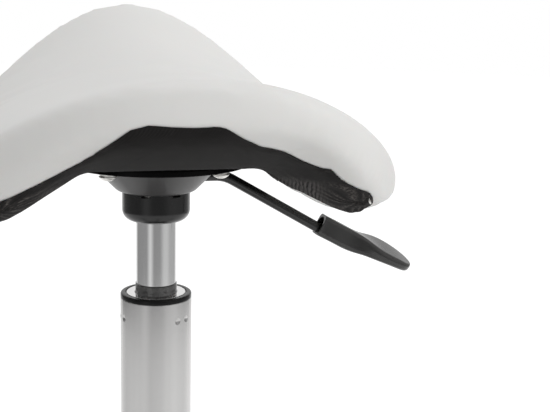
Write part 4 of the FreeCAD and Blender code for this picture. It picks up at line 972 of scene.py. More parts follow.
def spread_out(grid: np.ndarray, rings: int, steps: int) -> np.ndarray:
    """The highest value near each place of a closed grid, then evened out so that it has no steps.

    Args:
        grid: Values as rings by steps.
        rings: How many rings away still count.
        steps: How many steps along a ring still count.

    Returns:
        The evened values, nowhere below the given ones.
    """
    high = grid.copy()
    for ring in range(-rings, rings + 1):
        rows = np.clip(np.arange(len(grid)) + ring, 0, len(grid) - 1)
        for step in range(-steps, steps + 1):
            high = np.maximum(high, np.roll(grid[rows], step, axis=1))
    for _ in range(max(rings, steps)):
        padded = np.concatenate([high[:1], high, high[-1:]])
        high = (padded[:-2] + padded[2:] + np.roll(high, 1, axis=1) + np.roll(high, -1, axis=1)) / 4.0
    return np.maximum(high, grid)


def grid_normals(grid: np.ndarray) -> np.ndarray:
    """Unit normals of a grid of points whose second way closes on itself, turned downward.

    Args:
        grid: Points as rings by steps by three.

    Returns:
        A normal for each point.
    """
    around = np.roll(grid, -1, axis=1) - np.roll(grid, 1, axis=1)
    normals = np.cross(np.gradient(grid, axis=0), around)
    normals /= np.maximum(np.linalg.norm(normals, axis=2, keepdims=True), 1e-12)
    return normals * np.where(np.mean(normals[..., 2]) > 0.0, -1.0, 1.0)


@dataclass
class Cushion:
    """The upholstered pad: foam under one stretched skin that turns under at its rim."""

    form: SaddleForm
    stations: int = 121
    around: int = 240
    samples: int = 801
    voxel: float = 0.0045
    relax_rounds: int = 3
    relax_share: float = 0.5
    start_inset: float = 0.0016
    pressure: float = 4.0
    stiffness: float = 25.0
    bending: float = 2.0
    swell_limit: float = 0.005
    frames: int = 20
    held_height: float = 0.35
    give: float = 0.5
    fill: float = 0.9
    hang: float = 0.0040
    hang_area: FlankArea = FlankArea(0.096, 0.004, 0.018, 0.028)
    draw: float = 0.0046
    draw_area: FlankArea = FlankArea(0.108, -0.062, 0.020, 0.018)
    facing_down: Ramp = (0.25, -0.5)
    wrap: float = 0.0006
    wrap_facing: float = -0.05
    wrap_reach: float = 0.006
    wrap_rounds: int = 4
    wrap_fade: float = 0.82
    pleat_depth: float = 0.0005
    pleat_counts: tuple[float, float, float] = (58.0, 9.0, 23.0)
    pleat_sway: float = 1.5
    pleat_phase: float = 0.4
    pleat_turn: Ramp = (0.95, 0.2)
    pleat_outer: Ramp = (0.012, 0.012)
    pleat_inner: Ramp = (0.062, -0.02)
    pleat_facing: Ramp = (-0.3, -0.4)

    def section(self, reach: float) -> np.ndarray:
        """One closed section across the pad, its points evenly spaced.

        Args:
            reach: Share along the half length, from -1 at the front to 1.

        Returns:
            The section's points, from the middle of the top round to where it starts.
        """
        turn = np.linspace(math.pi / 2.0, -math.pi / 2.0, self.samples)
        side = np.abs(np.cos(turn)) ** self.form.side_round
        along = np.full_like(side, reach)
        half = np.where((turn >= 0.0)[:, None], self.form.top_point(along, side),
                        self.form.bottom_point(along, side))
        run = np.concatenate([[0.0], np.cumsum(np.linalg.norm(np.diff(half, axis=0), axis=1))])
        places = np.linspace(0.0, run[-1], self.around // 2 + 1)
        right = np.stack([np.interp(places, run, half[:, axis]) for axis in range(3)], axis=1)
        left = right[-2:0:-1] * np.array([-1.0, 1.0, 1.0])
        return np.concatenate([right, left])

    def rough(self) -> bpy.types.Object:
        """Builds the closed form from its sections, with a point at each end.

        Returns:
            The pad as a rough mesh.
        """
        turns = np.linspace(-math.pi / 2.0, math.pi / 2.0, self.stations)[1:-1]
        rings = [self.section(math.sin(turn)) for turn in turns]
        points = np.concatenate(rings)
        ends = [self.form.bottom_point(np.array(end), np.array(0.0)) for end in (-1.0, 1.0)]
        faces = [face[::-1] for face in loop_faces(len(rings), self.around)]
        front, rear = len(points), len(points) + 1
        last = (len(rings) - 1) * self.around
        for step in range(self.around):
            after = (step + 1) % self.around
            faces += [[front, step, after], [rear, last + after, last + step]]
        return mesh_piece("saddle_cushion", np.concatenate([points, np.array(ends)]), faces)

    def swell(self, piece: bpy.types.Object) -> None:
        """Blows the skin up a little from a smaller start, so that it is as taut as foam makes it.

        Args:
            piece: The closed pad.
        """
        normals, shape = normals_of(piece.data), points_of(piece.data)
        set_points(piece, shape - normals * self.start_inset)
        start = points_of(piece.data)
        held = piece.vertex_groups.new(name="stapled_under")
        under = self.form.plate_height + self.form.under(start[:, 0], start[:, 1])
        low = np.flatnonzero(start[:, 2] < under + self.held_height * self.form.rise)
        held.add([int(index) for index in low], 1.0, "REPLACE")
        cloth = piece.modifiers.new("stretched_skin", "CLOTH")
        settings = cloth.settings
        settings.use_pressure = True
        settings.uniform_pressure_force = self.pressure
        settings.effector_weights.gravity = 0.0
        settings.tension_stiffness = settings.compression_stiffness = self.stiffness
        settings.bending_stiffness = self.bending
        settings.vertex_group_mass = held.name
        cloth.point_cache.frame_start = 1
        cloth.point_cache.frame_end = self.frames
        for frame in range(1, self.frames + 1):
            bpy.context.scene.frame_set(frame)
        graph = bpy.context.evaluated_depsgraph_get()
        blown = bpy.data.meshes.new_from_object(piece.evaluated_get(graph))
        moved = points_of(blown) - start
        length = np.linalg.norm(moved, axis=1, keepdims=True)
        share = np.minimum(1.0, self.swell_limit / np.maximum(length, 1e-9))
        piece.modifiers.clear()
        bpy.data.meshes.remove(blown)
        bpy.context.scene.frame_set(1)
        proud = np.sum((start + moved * share - shape) * normals, axis=1)
        eased = (proud - proud.mean()) * self.give
        set_points(piece, shape + normals * eased[:, None])
        LOG.info("cushion swelled %.2f mm on average", float(np.mean(length * share)) / MM)

    def turn_under(self, piece: bpy.types.Object, board: bpy.types.Object) -> None:
        """Lets the flaps hang, wraps the skin round the board and pleats it where it turns under.

        Args:
            piece: The finished pad.
            board: The board that the skin is stapled to.
        """
        points, normals = points_of(piece.data), normals_of(piece.data)
        hung, drawn = self.hang_area.share(points), self.draw_area.share(points)
        below = smooth_step(normals[:, 2], *self.facing_down)
        points[:, 2] -= (self.hang * hung - self.draw * drawn) * below
        low = np.flatnonzero(normals[:, 2] < self.wrap_facing)
        carried = Bedding(board).meet(points[low], normals[low], self.wrap_reach)
        push = np.zeros(len(points))
        proud = np.sum((carried - points[low]) * normals[low], axis=1)
        push[low] = np.where(proud > 0.0, proud + self.wrap, 0.0)
        edges = np.array([edge.vertices[:] for edge in piece.data.edges])
        for _ in range(self.wrap_rounds):
            passed = push.copy()
            np.maximum.at(passed, edges[:, 0], push[edges[:, 1]] * self.wrap_fade)
            np.maximum.at(passed, edges[:, 1], push[edges[:, 0]] * self.wrap_fade)
            push = passed
        points += normals * push[:, None]
        set_points(piece, points + normals * self.pleats(points, normals)[:, None])

    def pleats(self, points: np.ndarray, normals: np.ndarray) -> np.ndarray:
        """How far the pleats stand off in the band where the skin turns under at the sides.

        Args:
            points: The skin's points.
            normals: Its normals.

        Returns:
            The heights, below 0 between two pleats.
        """
        turn = np.arctan2(points[:, 0], self.form.centre - points[:, 1])
        inside = self.form.outline(turn) - np.hypot(points[:, 0], points[:, 1] - self.form.centre)
        side = smooth_step(np.abs(turn), *self.pleat_turn)
        band = smooth_step(inside, *self.pleat_outer) * smooth_step(inside, *self.pleat_inner)
        fine, sway, broad = self.pleat_counts
        wave = (np.sin(turn * fine + self.pleat_sway * np.sin(turn * sway)) *
                np.sin(turn * broad + self.pleat_phase))
        return self.pleat_depth * side * band * smooth_step(normals[:, 2], *self.pleat_facing) * wave

    def build(self, board: bpy.types.Object) -> bpy.types.Object:
        """Builds the cushion, swells its skin and puts it on the seat.

        Args:
            board: The board that the skin is stapled to.

        Returns:
            The cushion's piece.
        """
        piece = self.rough()
        remesh = piece.modifiers.new("even_skin", "REMESH")
        remesh.mode = "VOXEL"
        remesh.voxel_size = self.voxel
        relax = piece.modifiers.new("relaxed", "SMOOTH")
        relax.iterations = self.relax_rounds
        relax.factor = self.relax_share
        settle(piece)
        self.swell(piece)
        finer = piece.modifiers.new("finer", "SUBSURF")
        finer.levels = finer.render_levels = 1
        settle(piece)
        self.turn_under(piece, board)
        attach(piece, "seat")
        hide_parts("seat_cushion")
        return piece


@dataclass
class DustCloth:
    """The black cloth under the seat: flat in the middle, gathered and wavy at its stapled edge.

    The edge's runs are in millimetres under the pad from its fullest line, at angles in degrees.
    """

    form: SaddleForm
    over_plate: float = 0.00045
    lift: float = 0.0003
    body: float = 0.0003
    search: float = 0.014
    plate_reach: float = 0.0665
    plate_step: float = 0.004
    rings: int = 64
    around: int = 1200
    crowding: float = 1.5
    even_rings: int = 4
    even_steps: int = 8
    hole: float = 0.022
    hem_width: float = 0.007
    hem_turn: float = 0.0015
    hem_rise: float = 0.0001
    edge_fade: float = 0.010
    edge_clear: Ramp = (-0.001, 0.006)
    pucker_depth: float = 0.0004
    pucker_count: float = 43.0
    pucker_sway: float = 300.0
    pucker_inner: Ramp = (0.02, -0.016)
    pucker_outer: Ramp = (0.0, 0.004)
    sag: float = 0.0003
    sag_ripple: float = 0.16
    sag_clear: float = 0.014
    sag_areas: tuple[tuple[float, FlankArea], ...] = (
        (0.8, FlankArea(0.066, -0.030, 0.024, 0.052)), (0.9, FlankArea(0.091, 0.002, 0.020, 0.034)))
    staple_places: tuple[tuple[float, float], ...] = ((0.1125, -0.1125), (-0.109, -0.117))
    bunch: float = 0.0022
    bunch_reach: float = 0.0085
    tuck: float = 0.14
    tuck_turn: float = 1.065
    tuck_spread: float = 0.20
    tuck_ring: float = 0.110
    tuck_width: float = 0.020
    fold_depth: float = 0.0008
    fold_count: float = 8.0
    fold_ring: float = 0.014
    fold_reach: float = 0.021
    fold_uneven: float = 0.006
    rib_start: float = 0.066
    rib_step: float = 0.010
    rib_slope: float = 0.35
    rib_bend: float = -0.10
    rib_front: Ramp = (-0.128, 0.02)
    rib_rear: Ramp = (0.10, -0.05)
    rib_from_staple: Ramp = (0.020, 0.014)
    cut: tuple[float, float] = (0.30, 0.30)
    cut_area: float = 0.063
    wave_scale: float = 0.8
    wave_start: Ramp = (60.0, 14.0)
    edge_angles: tuple[float, ...] = (
        -180, -160, -145, -130, -115, -105, -97, -88, -79, -75, -69, -65, -62.5, -60, -55, -50, -46, -42,
        -37, -31, -26, -22, -18, -14.4, -11.2, -9, -6.8, -4.5, -2.2, 0, 1.2, 2.4, 3.6, 5.0, 6.5, 8.1, 9.8,
        11.7, 13.6, 16, 19, 21, 23.1, 25.1, 26.8, 28.3, 29.8, 31.2, 31.9, 34.3, 36.6, 38.6, 40.4, 42.5,
        44.4, 46.4, 49.3, 52.8, 56, 57.4, 58.0, 58.5, 59.0, 59.6, 60.3, 61.2, 62.4, 64, 68, 75, 84, 91,
        99, 105, 115, 130, 145, 160, 180)
    edge_runs: tuple[float, ...] = (
        47, 38, 40, 50, 66, 78, 82, 80, 76, 71, 69, 60, 44, 33, 29, 27, 26, 29, 31, 32, 30, 25, 16, 9.2,
        8.4, 9.8, 11.2, 12.1, 12.6, 12.4, 12.0, 12.2, 13.2, 15.5, 18.4, 21.6, 24.5, 27.5, 29.5, 30.4,
        32.0, 33.1, 34.6, 36.0, 36.2, 35.4, 34.4, 32.6, 29.2, 30.6, 31.6, 31.3, 30.0, 28.6, 26.2, 25.2,
        25.6, 26.8, 28.2, 29.4, 31, 35, 42, 50, 58, 66, 72, 76, 79, 78, 76, 79, 84, 84, 80, 68, 50, 40, 47)
    laid: np.ndarray | None = None
    outward: np.ndarray | None = None

    def inset(self, angles: np.ndarray) -> np.ndarray:
        """How far inside the outline the cloth's edge lies, with small waves between the staples.

        Args:
            angles: Directions in plan, in radians, 0 to the front and growing to the lever's side.

        Returns:
            The insets.
        """
        turned = np.degrees(angles)
        runs = np.interp(turned, self.edge_angles, self.edge_runs) * MM
        waves = 1.1 * np.sin(angles * 31.0 + 0.6) + 0.6 * np.sin(angles * 67.0 + 1.9)
        away = smooth_step(np.abs(turned), *self.wave_start)
        return self.form.inset_after(angles, runs + waves * MM * away * self.wave_scale)

    def folds(self, points: np.ndarray) -> tuple[np.ndarray, np.ndarray]:
        """How far the cloth stands off where the staples at the two corners pull it together.

        Args:
            points: Places on the underside.

        Returns:
            The stand-off distances, and how much each place is the top of a fold, which the cloth's material
            paints lighter.
        """
        stand, tops = np.zeros(len(points)), np.zeros(len(points))
        for place in self.staple_places:
            away = points[:, :2] - np.array(place)
            distance = np.hypot(away[:, 0], away[:, 1])
            turn = np.arctan2(away[:, 1], away[:, 0])
            wander = 0.8 * np.sin(distance * 190.0 + turn * 2.0) + 1.1 * np.sin(turn * 4.0 + 0.7)
            ridge = np.abs(np.sin(turn * self.fold_count + wander)) ** 0.7
            reach = self.fold_reach + self.fold_uneven * np.sin(turn * 5.0)
            near = bell((distance - self.fold_ring) / reach)
            tops = np.maximum(tops, ridge ** 7 * near)
            stand += self.fold_depth * ridge * near
            lump = bell(distance / self.bunch_reach)
            stand += self.bunch * lump * (0.65 + 0.35 * np.sin(turn * 5.0 + 1.0))
        return stand, tops

    def slack(self, points: np.ndarray) -> np.ndarray:
        """How far the cloth hangs off the board between the plate and the two flaps.

        Args:
            points: Places on the underside.

        Returns:
            The stand-off distances.
        """
        x, y = np.abs(points[:, 0]), points[:, 1]
        areas = sum(share * area.share(points) for share, area in self.sag_areas)
        clear = smooth_step(np.hypot(x, y), self.plate_reach, self.sag_clear)
        return self.sag * clear * areas * (1.0 + self.sag_ripple * np.sin(y * 210.0 + x * 60.0))

    def rib_mask(self, points: np.ndarray) -> np.ndarray:
        """Where the cloth on the flaps is drawn into fine ribs, from 0 to 1.

        Args:
            points: Places on the underside.

        Returns:
            The mask.
        """
        x, y = np.abs(points[:, 0]), points[:, 1]
        bent = self.rib_slope * np.minimum(0.0, y - self.rib_bend)
        on_flap = smooth_step(x - self.rib_start + bent, 0.0, self.rib_step)
        staple = np.hypot(x - self.staple_places[0][0], y - self.staple_places[0][1])
        between = on_flap * smooth_step(y, *self.rib_front) * smooth_step(y, *self.rib_rear)
        return between * smooth_step(staple, *self.rib_from_staple)

    def lay(self, bedding: Bedding) -> tuple[np.ndarray, np.ndarray]:
        """Lays the sheet's points on what carries it.

        Args:
            bedding: The cushion's skin and the board.

        Returns:
            The points and the ways off the surface at them.
        """
        shares = 1.0 - (1.0 - np.linspace(0.0, 1.0, self.rings)) ** self.crowding
        angles = np.linspace(-math.pi, math.pi, self.around, endpoint=False)
        far = self.form.outline(angles) - self.inset(angles)
        reach = self.hole + (far[None, :] - self.hole) * shares[:, None]
        near_turn = bell((np.abs(angles) - self.tuck_turn) / self.tuck_spread) * np.sign(angles)
        near_ring = bell((reach - self.tuck_ring) / self.tuck_width)
        turned = angles[None, :] - self.tuck * near_turn[None, :] * near_ring
        x = np.sin(turned) * reach
        y = self.form.centre - np.cos(turned) * reach
        grid = np.stack([x, y, self.form.bottom_at(x, y)], axis=-1)
        outward = grid_normals(grid).reshape(-1, 3)
        points = grid.reshape(-1, 3)
        proud = np.sum((bedding.meet(points, outward, self.search) - points) * outward, axis=1)
        evened = spread_out(proud.reshape(self.rings, self.around), self.even_rings,
                            self.even_steps).reshape(-1)
        inside = np.hypot(points[:, 0], points[:, 1]) < self.plate_reach
        from_edge = (far[None, :] - reach).reshape(-1)
        evened = proud + (evened - proud) * smooth_step(from_edge, 0.0, self.edge_fade)
        points = points + outward * np.where(inside, proud, evened)[:, None]
        free = smooth_step(np.hypot(points[:, 0], points[:, 1]), self.plate_reach, self.plate_step)
        stand = self.over_plate + (self.lift - self.over_plate) * free
        sway = np.sin(from_edge * self.pucker_sway)
        puckers = 0.5 + 0.5 * np.sin(np.tile(angles, self.rings) * self.pucker_count + sway)
        near_edge = smooth_step(from_edge, *self.pucker_inner) * smooth_step(from_edge, *self.pucker_outer)
        hem = smooth_step(from_edge, self.hem_width, -self.hem_turn) * self.hem_rise
        stand += free * (hem + self.pucker_depth * puckers * near_edge + self.slack(points) +
                         self.folds(points)[0] * smooth_step(from_edge, *self.edge_clear))
        return points + outward * stand[:, None], outward

    def build(self, bedding: Bedding) -> bpy.types.Object:
        """Builds the cloth as one sheet with a thin body and puts it on the seat.

        Args:
            bedding: The cushion's skin and the board.

        Returns:
            The cloth's piece.
        """
        points, outward = self.lay(bedding)
        self.laid = points.reshape(self.rings, self.around, 3)
        self.outward = outward.reshape(self.rings, self.around, 3)
        piece = mesh_piece("dust_cloth", points, loop_faces(self.rings, self.around))
        LOG.info("dust_cloth: %.4f square metres", sum(face.area for face in piece.data.polygons))
        for name, values in (("ribs", self.rib_mask(points)), ("fold_tops", self.folds(points)[1])):
            mask = piece.data.attributes.new(name, "FLOAT", "POINT")
            mask.data.foreach_set("value", values.astype(np.float32))
        if piece.data.polygons[0].normal.z > 0.0:
            piece.data.flip_normals()
        body = piece.modifiers.new("cloth_body", "SOLIDIFY")
        body.thickness = self.body
        body.offset = 1.0
        settle(piece)
        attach(piece, "seat")
        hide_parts("underside_cloth")
        return piece


@dataclass(frozen=True)
class Staple:
    """One staple: where it is along the cloth's edge and inside it, and how its crown stands."""

    angle: float
    inside: float = 0.0035
    proud: float = 0.0006
    crown: float = 0.0095


@dataclass
class Staples:
    """The wire staples that hold the dust cloth: a low crown and two legs pushed through it."""

    cloth: DustCloth
    wire: float = 0.00055
    leg: float = 0.0022
    around: int = 8
    span: int = 6
    angles: tuple[float, ...] = (-170, -150, -131, -114, -101, -88, 114, 131, 150, 170)
    corner: Staple = Staple(48.5, 0.0030, 0.0024, 0.0050)

    def bent_wire(self, staple: Staple, spot: np.ndarray, along: np.ndarray, out: np.ndarray) -> tuple:
        """One staple as a bent wire of round section.

        Args:
            staple: Which staple.
            spot: The middle of its crown's line on the cloth.
            along: The way of the crown.
            out: The way off the cloth.

        Returns:
            Its points and faces.
        """
        half, proud, corner = staple.crown / 2.0, staple.proud, staple.crown / 9.0
        bend = corner * 0.3
        path = [(-half, -self.leg), (-half, proud - corner), (-half + bend, proud - bend),
                (-half + corner, proud), (half - corner, proud), (half - bend, proud - bend),
                (half, proud - corner), (half, -self.leg)]
        centres = np.array([spot + along * across + out * up for across, up in path])
        ways = np.gradient(centres, axis=0)
        ways /= np.linalg.norm(ways, axis=1, keepdims=True)
        beside = np.cross(along, out)
        beside /= np.linalg.norm(beside)
        turns = np.linspace(0.0, math.tau, self.around, endpoint=False)[:, None]
        points = np.concatenate([
            centre + self.wire * (np.cos(turns) * beside + np.sin(turns) * np.cross(way, beside))
            for centre, way in zip(centres, ways)])
        last = len(points) - self.around
        ends = [list(range(self.around - 1, -1, -1)), list(range(last, len(points)))]
        return points, loop_faces(len(path), self.around) + ends

    def build(self) -> bpy.types.Object:
        """Builds every staple along the cloth's edge as one piece on the seat.

        Returns:
            The staples' piece.
        """
        grid, outward, around = self.cloth.laid, self.cloth.outward, self.cloth.around
        points, faces = [], []
        for staple in (*map(Staple, self.angles), self.corner):
            step = round((staple.angle + 180.0) / 360.0 * around) % around
            away = np.linalg.norm(grid[:, step] - grid[-1, step], axis=1)
            ring = int(np.argmin(np.abs(away - staple.inside)))
            out = outward[ring, step]
            along = grid[ring, (step + self.span) % around] - grid[ring, step - self.span]
            along -= out * np.dot(along, out)
            along /= np.linalg.norm(along)
            first = len(points)
            spot = grid[ring, step] + out * self.cloth.body
            wire, loops = self.bent_wire(staple, spot, along, out)
            points.extend(wire)
            faces.extend([first + index for index in face] for face in loops)
        piece = mesh_piece("cloth_staples", np.array(points), faces)
        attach(piece, "seat")
        return piece


class SubAssembly:
    """A sub-assembly whose nodes keep their solids and get finishes."""

    def finishes(self) -> dict[Palette, list[str]]:
        """The names of the nodes that get each finish."""
        raise NotImplementedError

    def dress(self, paints: Paintbox) -> None:
        """Gives the nodes their finishes.

        Args:
            paints: The finishes' materials.
        """
        for choice, names in self.finishes().items():
            for name in names:
                paints.paint(bpy.data.objects[name], choice)


class SeatHardware(SubAssembly):
    """The board, plate and dish, and what holds them together."""

    def finishes(self) -> dict[Palette, list[str]]:
        """Wood for the board, enamel for the plate and dish, and plated steel.

        Returns:
            The nodes' names by finish.
        """
        return {Palette.PLYWOOD: ["seat_board"], Palette.BLACK_ENAMEL: ["seat_plate"],
                Palette.GREY_ENAMEL: ["dish_housing"],
                Palette.ZINC_STEEL: ["tee_nuts", "mounting_screws", "screw_washers", "taper_socket",
                                     "lever_bracket", "lever_pivot", "release_pin"]}


class Lever(SubAssembly):
    """The release lever: an enamelled rod with a moulded paddle."""

    def finishes(self) -> dict[Palette, list[str]]:
        """Enamel for the rod and plastic for the paddle."""
        return {Palette.ROD_ENAMEL: ["lever_rod"], Palette.PADDLE_PLASTIC: ["lever_grip"]}


@dataclass
class Column(SubAssembly):
    """The gas column, its tube and what runs inside them."""

    lip_radius: float = 0.01412
    lip_wall: float = 0.00045
    lip_foot: float = 0.0005
    lip_sink: float = 0.0009
    lip_flare: float = 0.0010
    lip_top: float = 0.0064
    lip_ripple: float = 0.00006
    rippled: int = 5
    around: int = 160

    def wiper_lip(self) -> bpy.types.Object:
        """Builds the thin soft lip that wipes the cylinder where it leaves the tube.

        Returns:
            The lip, standing on the wiper ring.
        """
        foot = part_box("wiper_ring")[1].z + self.lip_foot
        inner, outer, top = self.lip_radius, self.lip_radius + self.lip_wall, foot + self.lip_top
        profile = [(outer + 0.0008, foot - self.lip_sink), (outer + 0.0003, foot),
                   (outer, foot + self.lip_flare), (outer, foot + self.lip_top * 0.6),
                   (outer - 0.0001, top - 0.0004), (outer - 0.0002, top), (inner, top),
                   (inner, foot - self.lip_sink)]
        turns = np.linspace(0.0, math.tau, self.around, endpoint=False)
        points = []
        for step, (radius, height) in enumerate(profile):
            ripple = self.lip_ripple * (np.sin(turns * 7.0 + 0.8 * step) + np.sin(turns * 12.0 + 1.7))
            wavy = radius + ripple * (step < self.rippled)
            points.append(np.stack([np.cos(turns) * wavy, np.sin(turns) * wavy,
                                    np.full(self.around, height)], axis=1))
        faces = loop_faces(len(profile) + 1, self.around)
        closed = [[index % (len(profile) * self.around) for index in face] for face in faces]
        piece = mesh_piece("wiper_lip", np.concatenate(points), closed)
        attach(piece, "base")
        return piece

    def finishes(self) -> dict[Palette, list[str]]:
        """Chrome, satin steel and plastics, with plated steel and nylon inside.

        Returns:
            The nodes' names by finish.
        """
        return {Palette.SATIN_STEEL: ["outer_tube"], Palette.GLOSS_PLASTIC: ["guide_bush"],
                Palette.BRIGHT_RING: ["wiper_ring"], Palette.CAP_PLASTIC: ["column_cap"],
                Palette.CHROME: ["gas_cylinder", "piston_rod"], Palette.BUFFER_RUBBER: ["bump_stop"],
                Palette.ZINC_STEEL: ["bearing_lower_race", "bearing_upper_race", "retaining_clip"],
                Palette.BEARING_PLASTIC: ["bearing_cage", "piston", "cylinder_guide"]}

    def dress(self, paints: Paintbox) -> None:
        """Adds the lip and gives the column its finishes."""
        paints.paint(self.wiper_lip(), Palette.LIP_RUBBER)
        super().dress(paints)


@dataclass
class StarBase(SubAssembly):
    """The five-star base and its castors."""

    arms: int = 5

    def finishes(self) -> dict[Palette, list[str]]:
        """Cast steel for the base, and plated steel, plastic and nylon for the castors.

        Returns:
            The nodes' names by finish.
        """
        numbers = range(1, self.arms + 1)
        steel = [f"castor_{part}_{number}" for number in numbers for part in ("stem", "axle")]
        wheels = [f"castor_wheel_{side}_{number}" for number in numbers for side in ("left", "right")]
        return {Palette.CAST_STEEL: ["base_hub"] + [f"base_arm_{number}" for number in numbers],
                Palette.ZINC_STEEL: ["castor_sleeves"] + steel, Palette.WHEEL_NYLON: wheels,
                Palette.BLACK_PLASTIC: [f"castor_housing_{number}" for number in numbers]}


# The room: floor, light and camera


@dataclass(frozen=True)
class Panel:
    """A range of turns round the stool, in degrees, and how much brighter the studio is there."""

    turn: float
    half_width: float
    edge: float
    strength: float = 0.0

    def mask(self, bench: Bench, turn: Socket) -> Socket:
        """1 within the range and 0 outside it, with soft edges.

        Args:
            bench: The tree's bench.
            turn: The turn, in degrees.

        Returns:
            The mask.
        """
        away = bench.reckon("ABSOLUTE", bench.reckon("SUBTRACT", turn, self.turn))
        return bench.spread(away, 1.0, 0.0, self.half_width - self.edge / 2.0,
                            self.half_width + self.edge / 2.0)


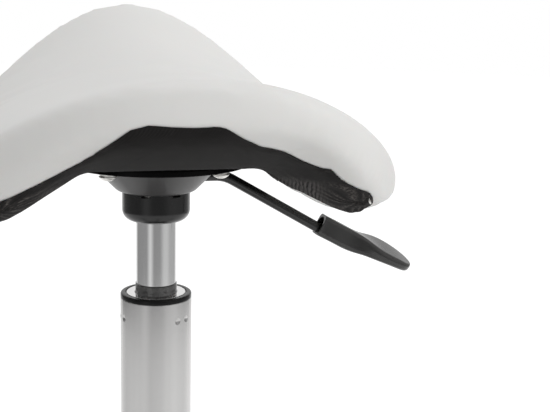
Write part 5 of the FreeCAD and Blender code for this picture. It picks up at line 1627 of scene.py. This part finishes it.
@dataclass
class Room:
    """A pale floor, plain soft light, and the camera at the photograph's angle."""

    camera_place: Point = (-0.1194, -0.7516, 0.536)
    azimuth: float = 15.27
    pitch: float = 11.62
    roll: float = 1.33
    lens: float = 72.6
    sensor: float = 36.0
    aim: Point = (0.0, 0.0, 0.35)
    around: int = 96
    floor_radii: tuple[float, ...] = (0.05, 1.0, 6.0)
    floor_glow: float = 0.76
    surround: float = 0.70
    backdrop: float = 0.95
    room_side: float = 0.30
    room_turn: float = -9.0
    front: Panel = Panel(0.0, 138.0, 12.0)
    card_reach: float = 1.0
    card_heights: tuple[float, float] = (0.002, 1.5)
    panels: tuple[Panel, ...] = (
        Panel(-33.0, 12.0, 20.0, 0.42), Panel(55.0, 20.0, 24.0, 0.28), Panel(104.0, 30.0, 30.0, 0.15))

    def seen(self, bench: Bench, *rays: str) -> Socket:
        """1 for the camera's rays, those through glass and any others named, and 0 for the rest.

        Args:
            bench: The tree's bench.
            rays: Other kinds of ray that count.

        Returns:
            The mask.
        """
        path = bench.add("ShaderNodeLightPath").outputs
        mask = path["Is Camera Ray"]
        for ray in (*rays, "Is Transmission Ray"):
            mask = bench.reckon("MAXIMUM", mask, path[ray])
        return mask

    def surroundings(self, bench: Bench, place: Socket) -> Socket:
        """How bright the studio is all round: white behind the stool, dimmer in front, with panels.

        Args:
            bench: The world's or the cards' bench.
            place: A place or a way, seen from the stool.

        Returns:
            The brightness.
        """
        facing = math.radians(self.room_turn)
        axes = bench.axes(place)
        right = bench.times(axes[1], math.sin(facing), bench.times(axes[0], math.cos(facing)))
        ahead = bench.times(axes[1], -math.cos(facing), bench.times(axes[0], math.sin(facing)))
        turn = bench.reckon("DEGREES", bench.reckon("ARCTAN2", right, ahead))
        level = bench.spread(self.front.mask(bench, turn), self.backdrop, self.room_side, 0.0, 1.0)
        for panel in self.panels:
            level = bench.times(panel.mask(bench, turn), panel.strength, level)
        return level

    def build_world(self) -> None:
        """Lights the stool evenly, shows white to the camera and the studio to polished metal."""
        world = bpy.data.worlds.new("soft_room")
        bpy.context.scene.world = world
        world.use_nodes = True
        bench = Bench(world.node_tree)
        way = bench.add("ShaderNodeTexCoord").outputs["Generated"]
        overhead = bench.spread(bench.axes(way)[2], 0.0, 1.0, 0.6, 0.85)
        level = bench.reckon("MAXIMUM", self.surroundings(bench, way), overhead)
        studio = bench.reckon("MAXIMUM", level, self.seen(bench))
        glow, mirrored = (bench.add("ShaderNodeBackground", {"Color": WHITE, "Strength": strength})
                          for strength in (self.surround, studio))
        inputs = {0: self.seen(bench, "Is Glossy Ray"), 1: glow.outputs[0], 2: mirrored.outputs[0]}
        mixed = bench.add("ShaderNodeMixShader", inputs)
        bench.add("ShaderNodeOutputWorld", {0: mixed.outputs[0]})

    def build_cards(self) -> None:
        """Stands a ring of studio cards round the stool that only polished surfaces show."""
        rings = [level_ring(self.around, self.card_reach, height) for height in self.card_heights]
        cards = mesh_piece("studio_cards", np.concatenate(rings), loop_faces(2, self.around))
        material, bench = new_material("studio_cards")
        strength = self.surroundings(bench, bench.place())
        glow = bench.add("ShaderNodeEmission", {"Color": WHITE, "Strength": strength})
        bench.add("ShaderNodeOutputMaterial", {0: glow.outputs[0]})
        cards.data.materials.append(material)
        cards.visible_camera = cards.visible_diffuse = False
        cards.visible_transmission = cards.visible_shadow = False

    def build_floor(self) -> None:
        """Lays a large round pale floor that keeps the stool's shadow."""
        rings = [level_ring(self.around, radius, 0.0) for radius in self.floor_radii]
        faces = loop_faces(len(rings), self.around) + [list(range(self.around - 1, -1, -1))]
        floor = mesh_piece("pale_floor", np.concatenate(rings), faces)
        material, bench = new_material("pale_floor")
        speck = bench.noise(bench.place(), 60.0, 4.0)
        tint = bench.blend(speck, (0.80, 0.80, 0.79), (0.83, 0.83, 0.825))
        plain = bench.add("ShaderNodeBsdfDiffuse", {"Color": tint})
        lit = bench.add("ShaderNodeBsdfDiffuse", {"Color": (0.45, 0.45, 0.45, 1.0)})
        glow = bench.add("ShaderNodeEmission", {"Color": WHITE, "Strength": self.floor_glow})
        shown = bench.add("ShaderNodeAddShader", {0: lit.outputs[0], 1: glow.outputs[0]})
        inputs = {0: self.seen(bench, "Is Glossy Ray"), 1: plain.outputs[0], 2: shown.outputs[0]}
        mixed = bench.add("ShaderNodeMixShader", inputs)
        bench.add("ShaderNodeOutputMaterial", {0: mixed.outputs[0]})
        floor.data.materials.append(material)

    def lamp(self, name: str, place: Point, size: tuple[float, float], power: float) -> None:
        """Hangs a soft rectangular lamp that faces the seat and shows in no mirror.

        Args:
            name: The lamp's name.
            place: Where it hangs.
            size: Its width and height.
            power: Its power in watts.
        """
        data = bpy.data.lights.new(name, "AREA")
        data.shape = "RECTANGLE"
        data.size, data.size_y = size
        data.energy = power
        lamp = bpy.data.objects.new(name, data)
        lamp.location = place
        lamp.rotation_mode = "QUATERNION"
        lamp.rotation_quaternion = (Vector(self.aim) - Vector(place)).to_track_quat("-Z", "Y")
        lamp.visible_camera = lamp.visible_glossy = False
        bpy.context.scene.collection.objects.link(lamp)

    def build_camera(self) -> None:
        """Sets the camera where the photograph was taken from."""
        azimuth, pitch, roll = (math.radians(value) for value in (self.azimuth, self.pitch, self.roll))
        forward = Vector((math.sin(azimuth) * math.cos(pitch), math.cos(azimuth) * math.cos(pitch),
                          -math.sin(pitch)))
        level = forward.cross(Vector((0.0, 0.0, 1.0))).normalized()
        upright = level.cross(forward)
        right = level * math.cos(roll) + upright * math.sin(roll)
        up = upright * math.cos(roll) - level * math.sin(roll)
        data = bpy.data.cameras.new("camera")
        data.lens, data.sensor_width = self.lens, self.sensor
        data.clip_start, data.clip_end = 0.02, 50.0
        camera = bpy.data.objects.new("camera", data)
        turned = Matrix((right, up, -forward)).transposed().to_4x4()
        camera.matrix_world = Matrix.Translation(Vector(self.camera_place)) @ turned
        bpy.context.scene.collection.objects.link(camera)
        bpy.context.scene.camera = camera

    def build(self) -> None:
        """Builds the whole room."""
        self.build_world()
        self.build_floor()
        self.build_cards()
        self.lamp("key_softbox", (1.7, -1.3, 1.1), (1.1, 1.5), 15.0)
        self.lamp("top_softbox", (0.2, 0.2, 2.4), (1.8, 1.8), 6.0)
        self.build_camera()
        bpy.context.scene.view_settings.view_transform = "Standard"


def main() -> None:
    """Builds the stool's looks around the frame, in order, and reports each piece."""
    logging.basicConfig(level=logging.INFO, format="%(name)s %(message)s")
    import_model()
    Room().build()
    paints = Paintbox()
    form = SaddleForm()
    board = bpy.data.objects["seat_board"]
    pad = Cushion(form).build(board)
    cloth = DustCloth(form)
    paints.paint(pad, Palette.WHITE_UPHOLSTERY)
    paints.paint(cloth.build(Bedding(pad, board)), Palette.BLACK_CLOTH)
    paints.paint(Staples(cloth).build(), Palette.ZINC_STEEL)
    for part in (SeatHardware(), Lever(), Column(), StarBase()):
        part.dress(paints)


if __name__ == "__main__":
    main()
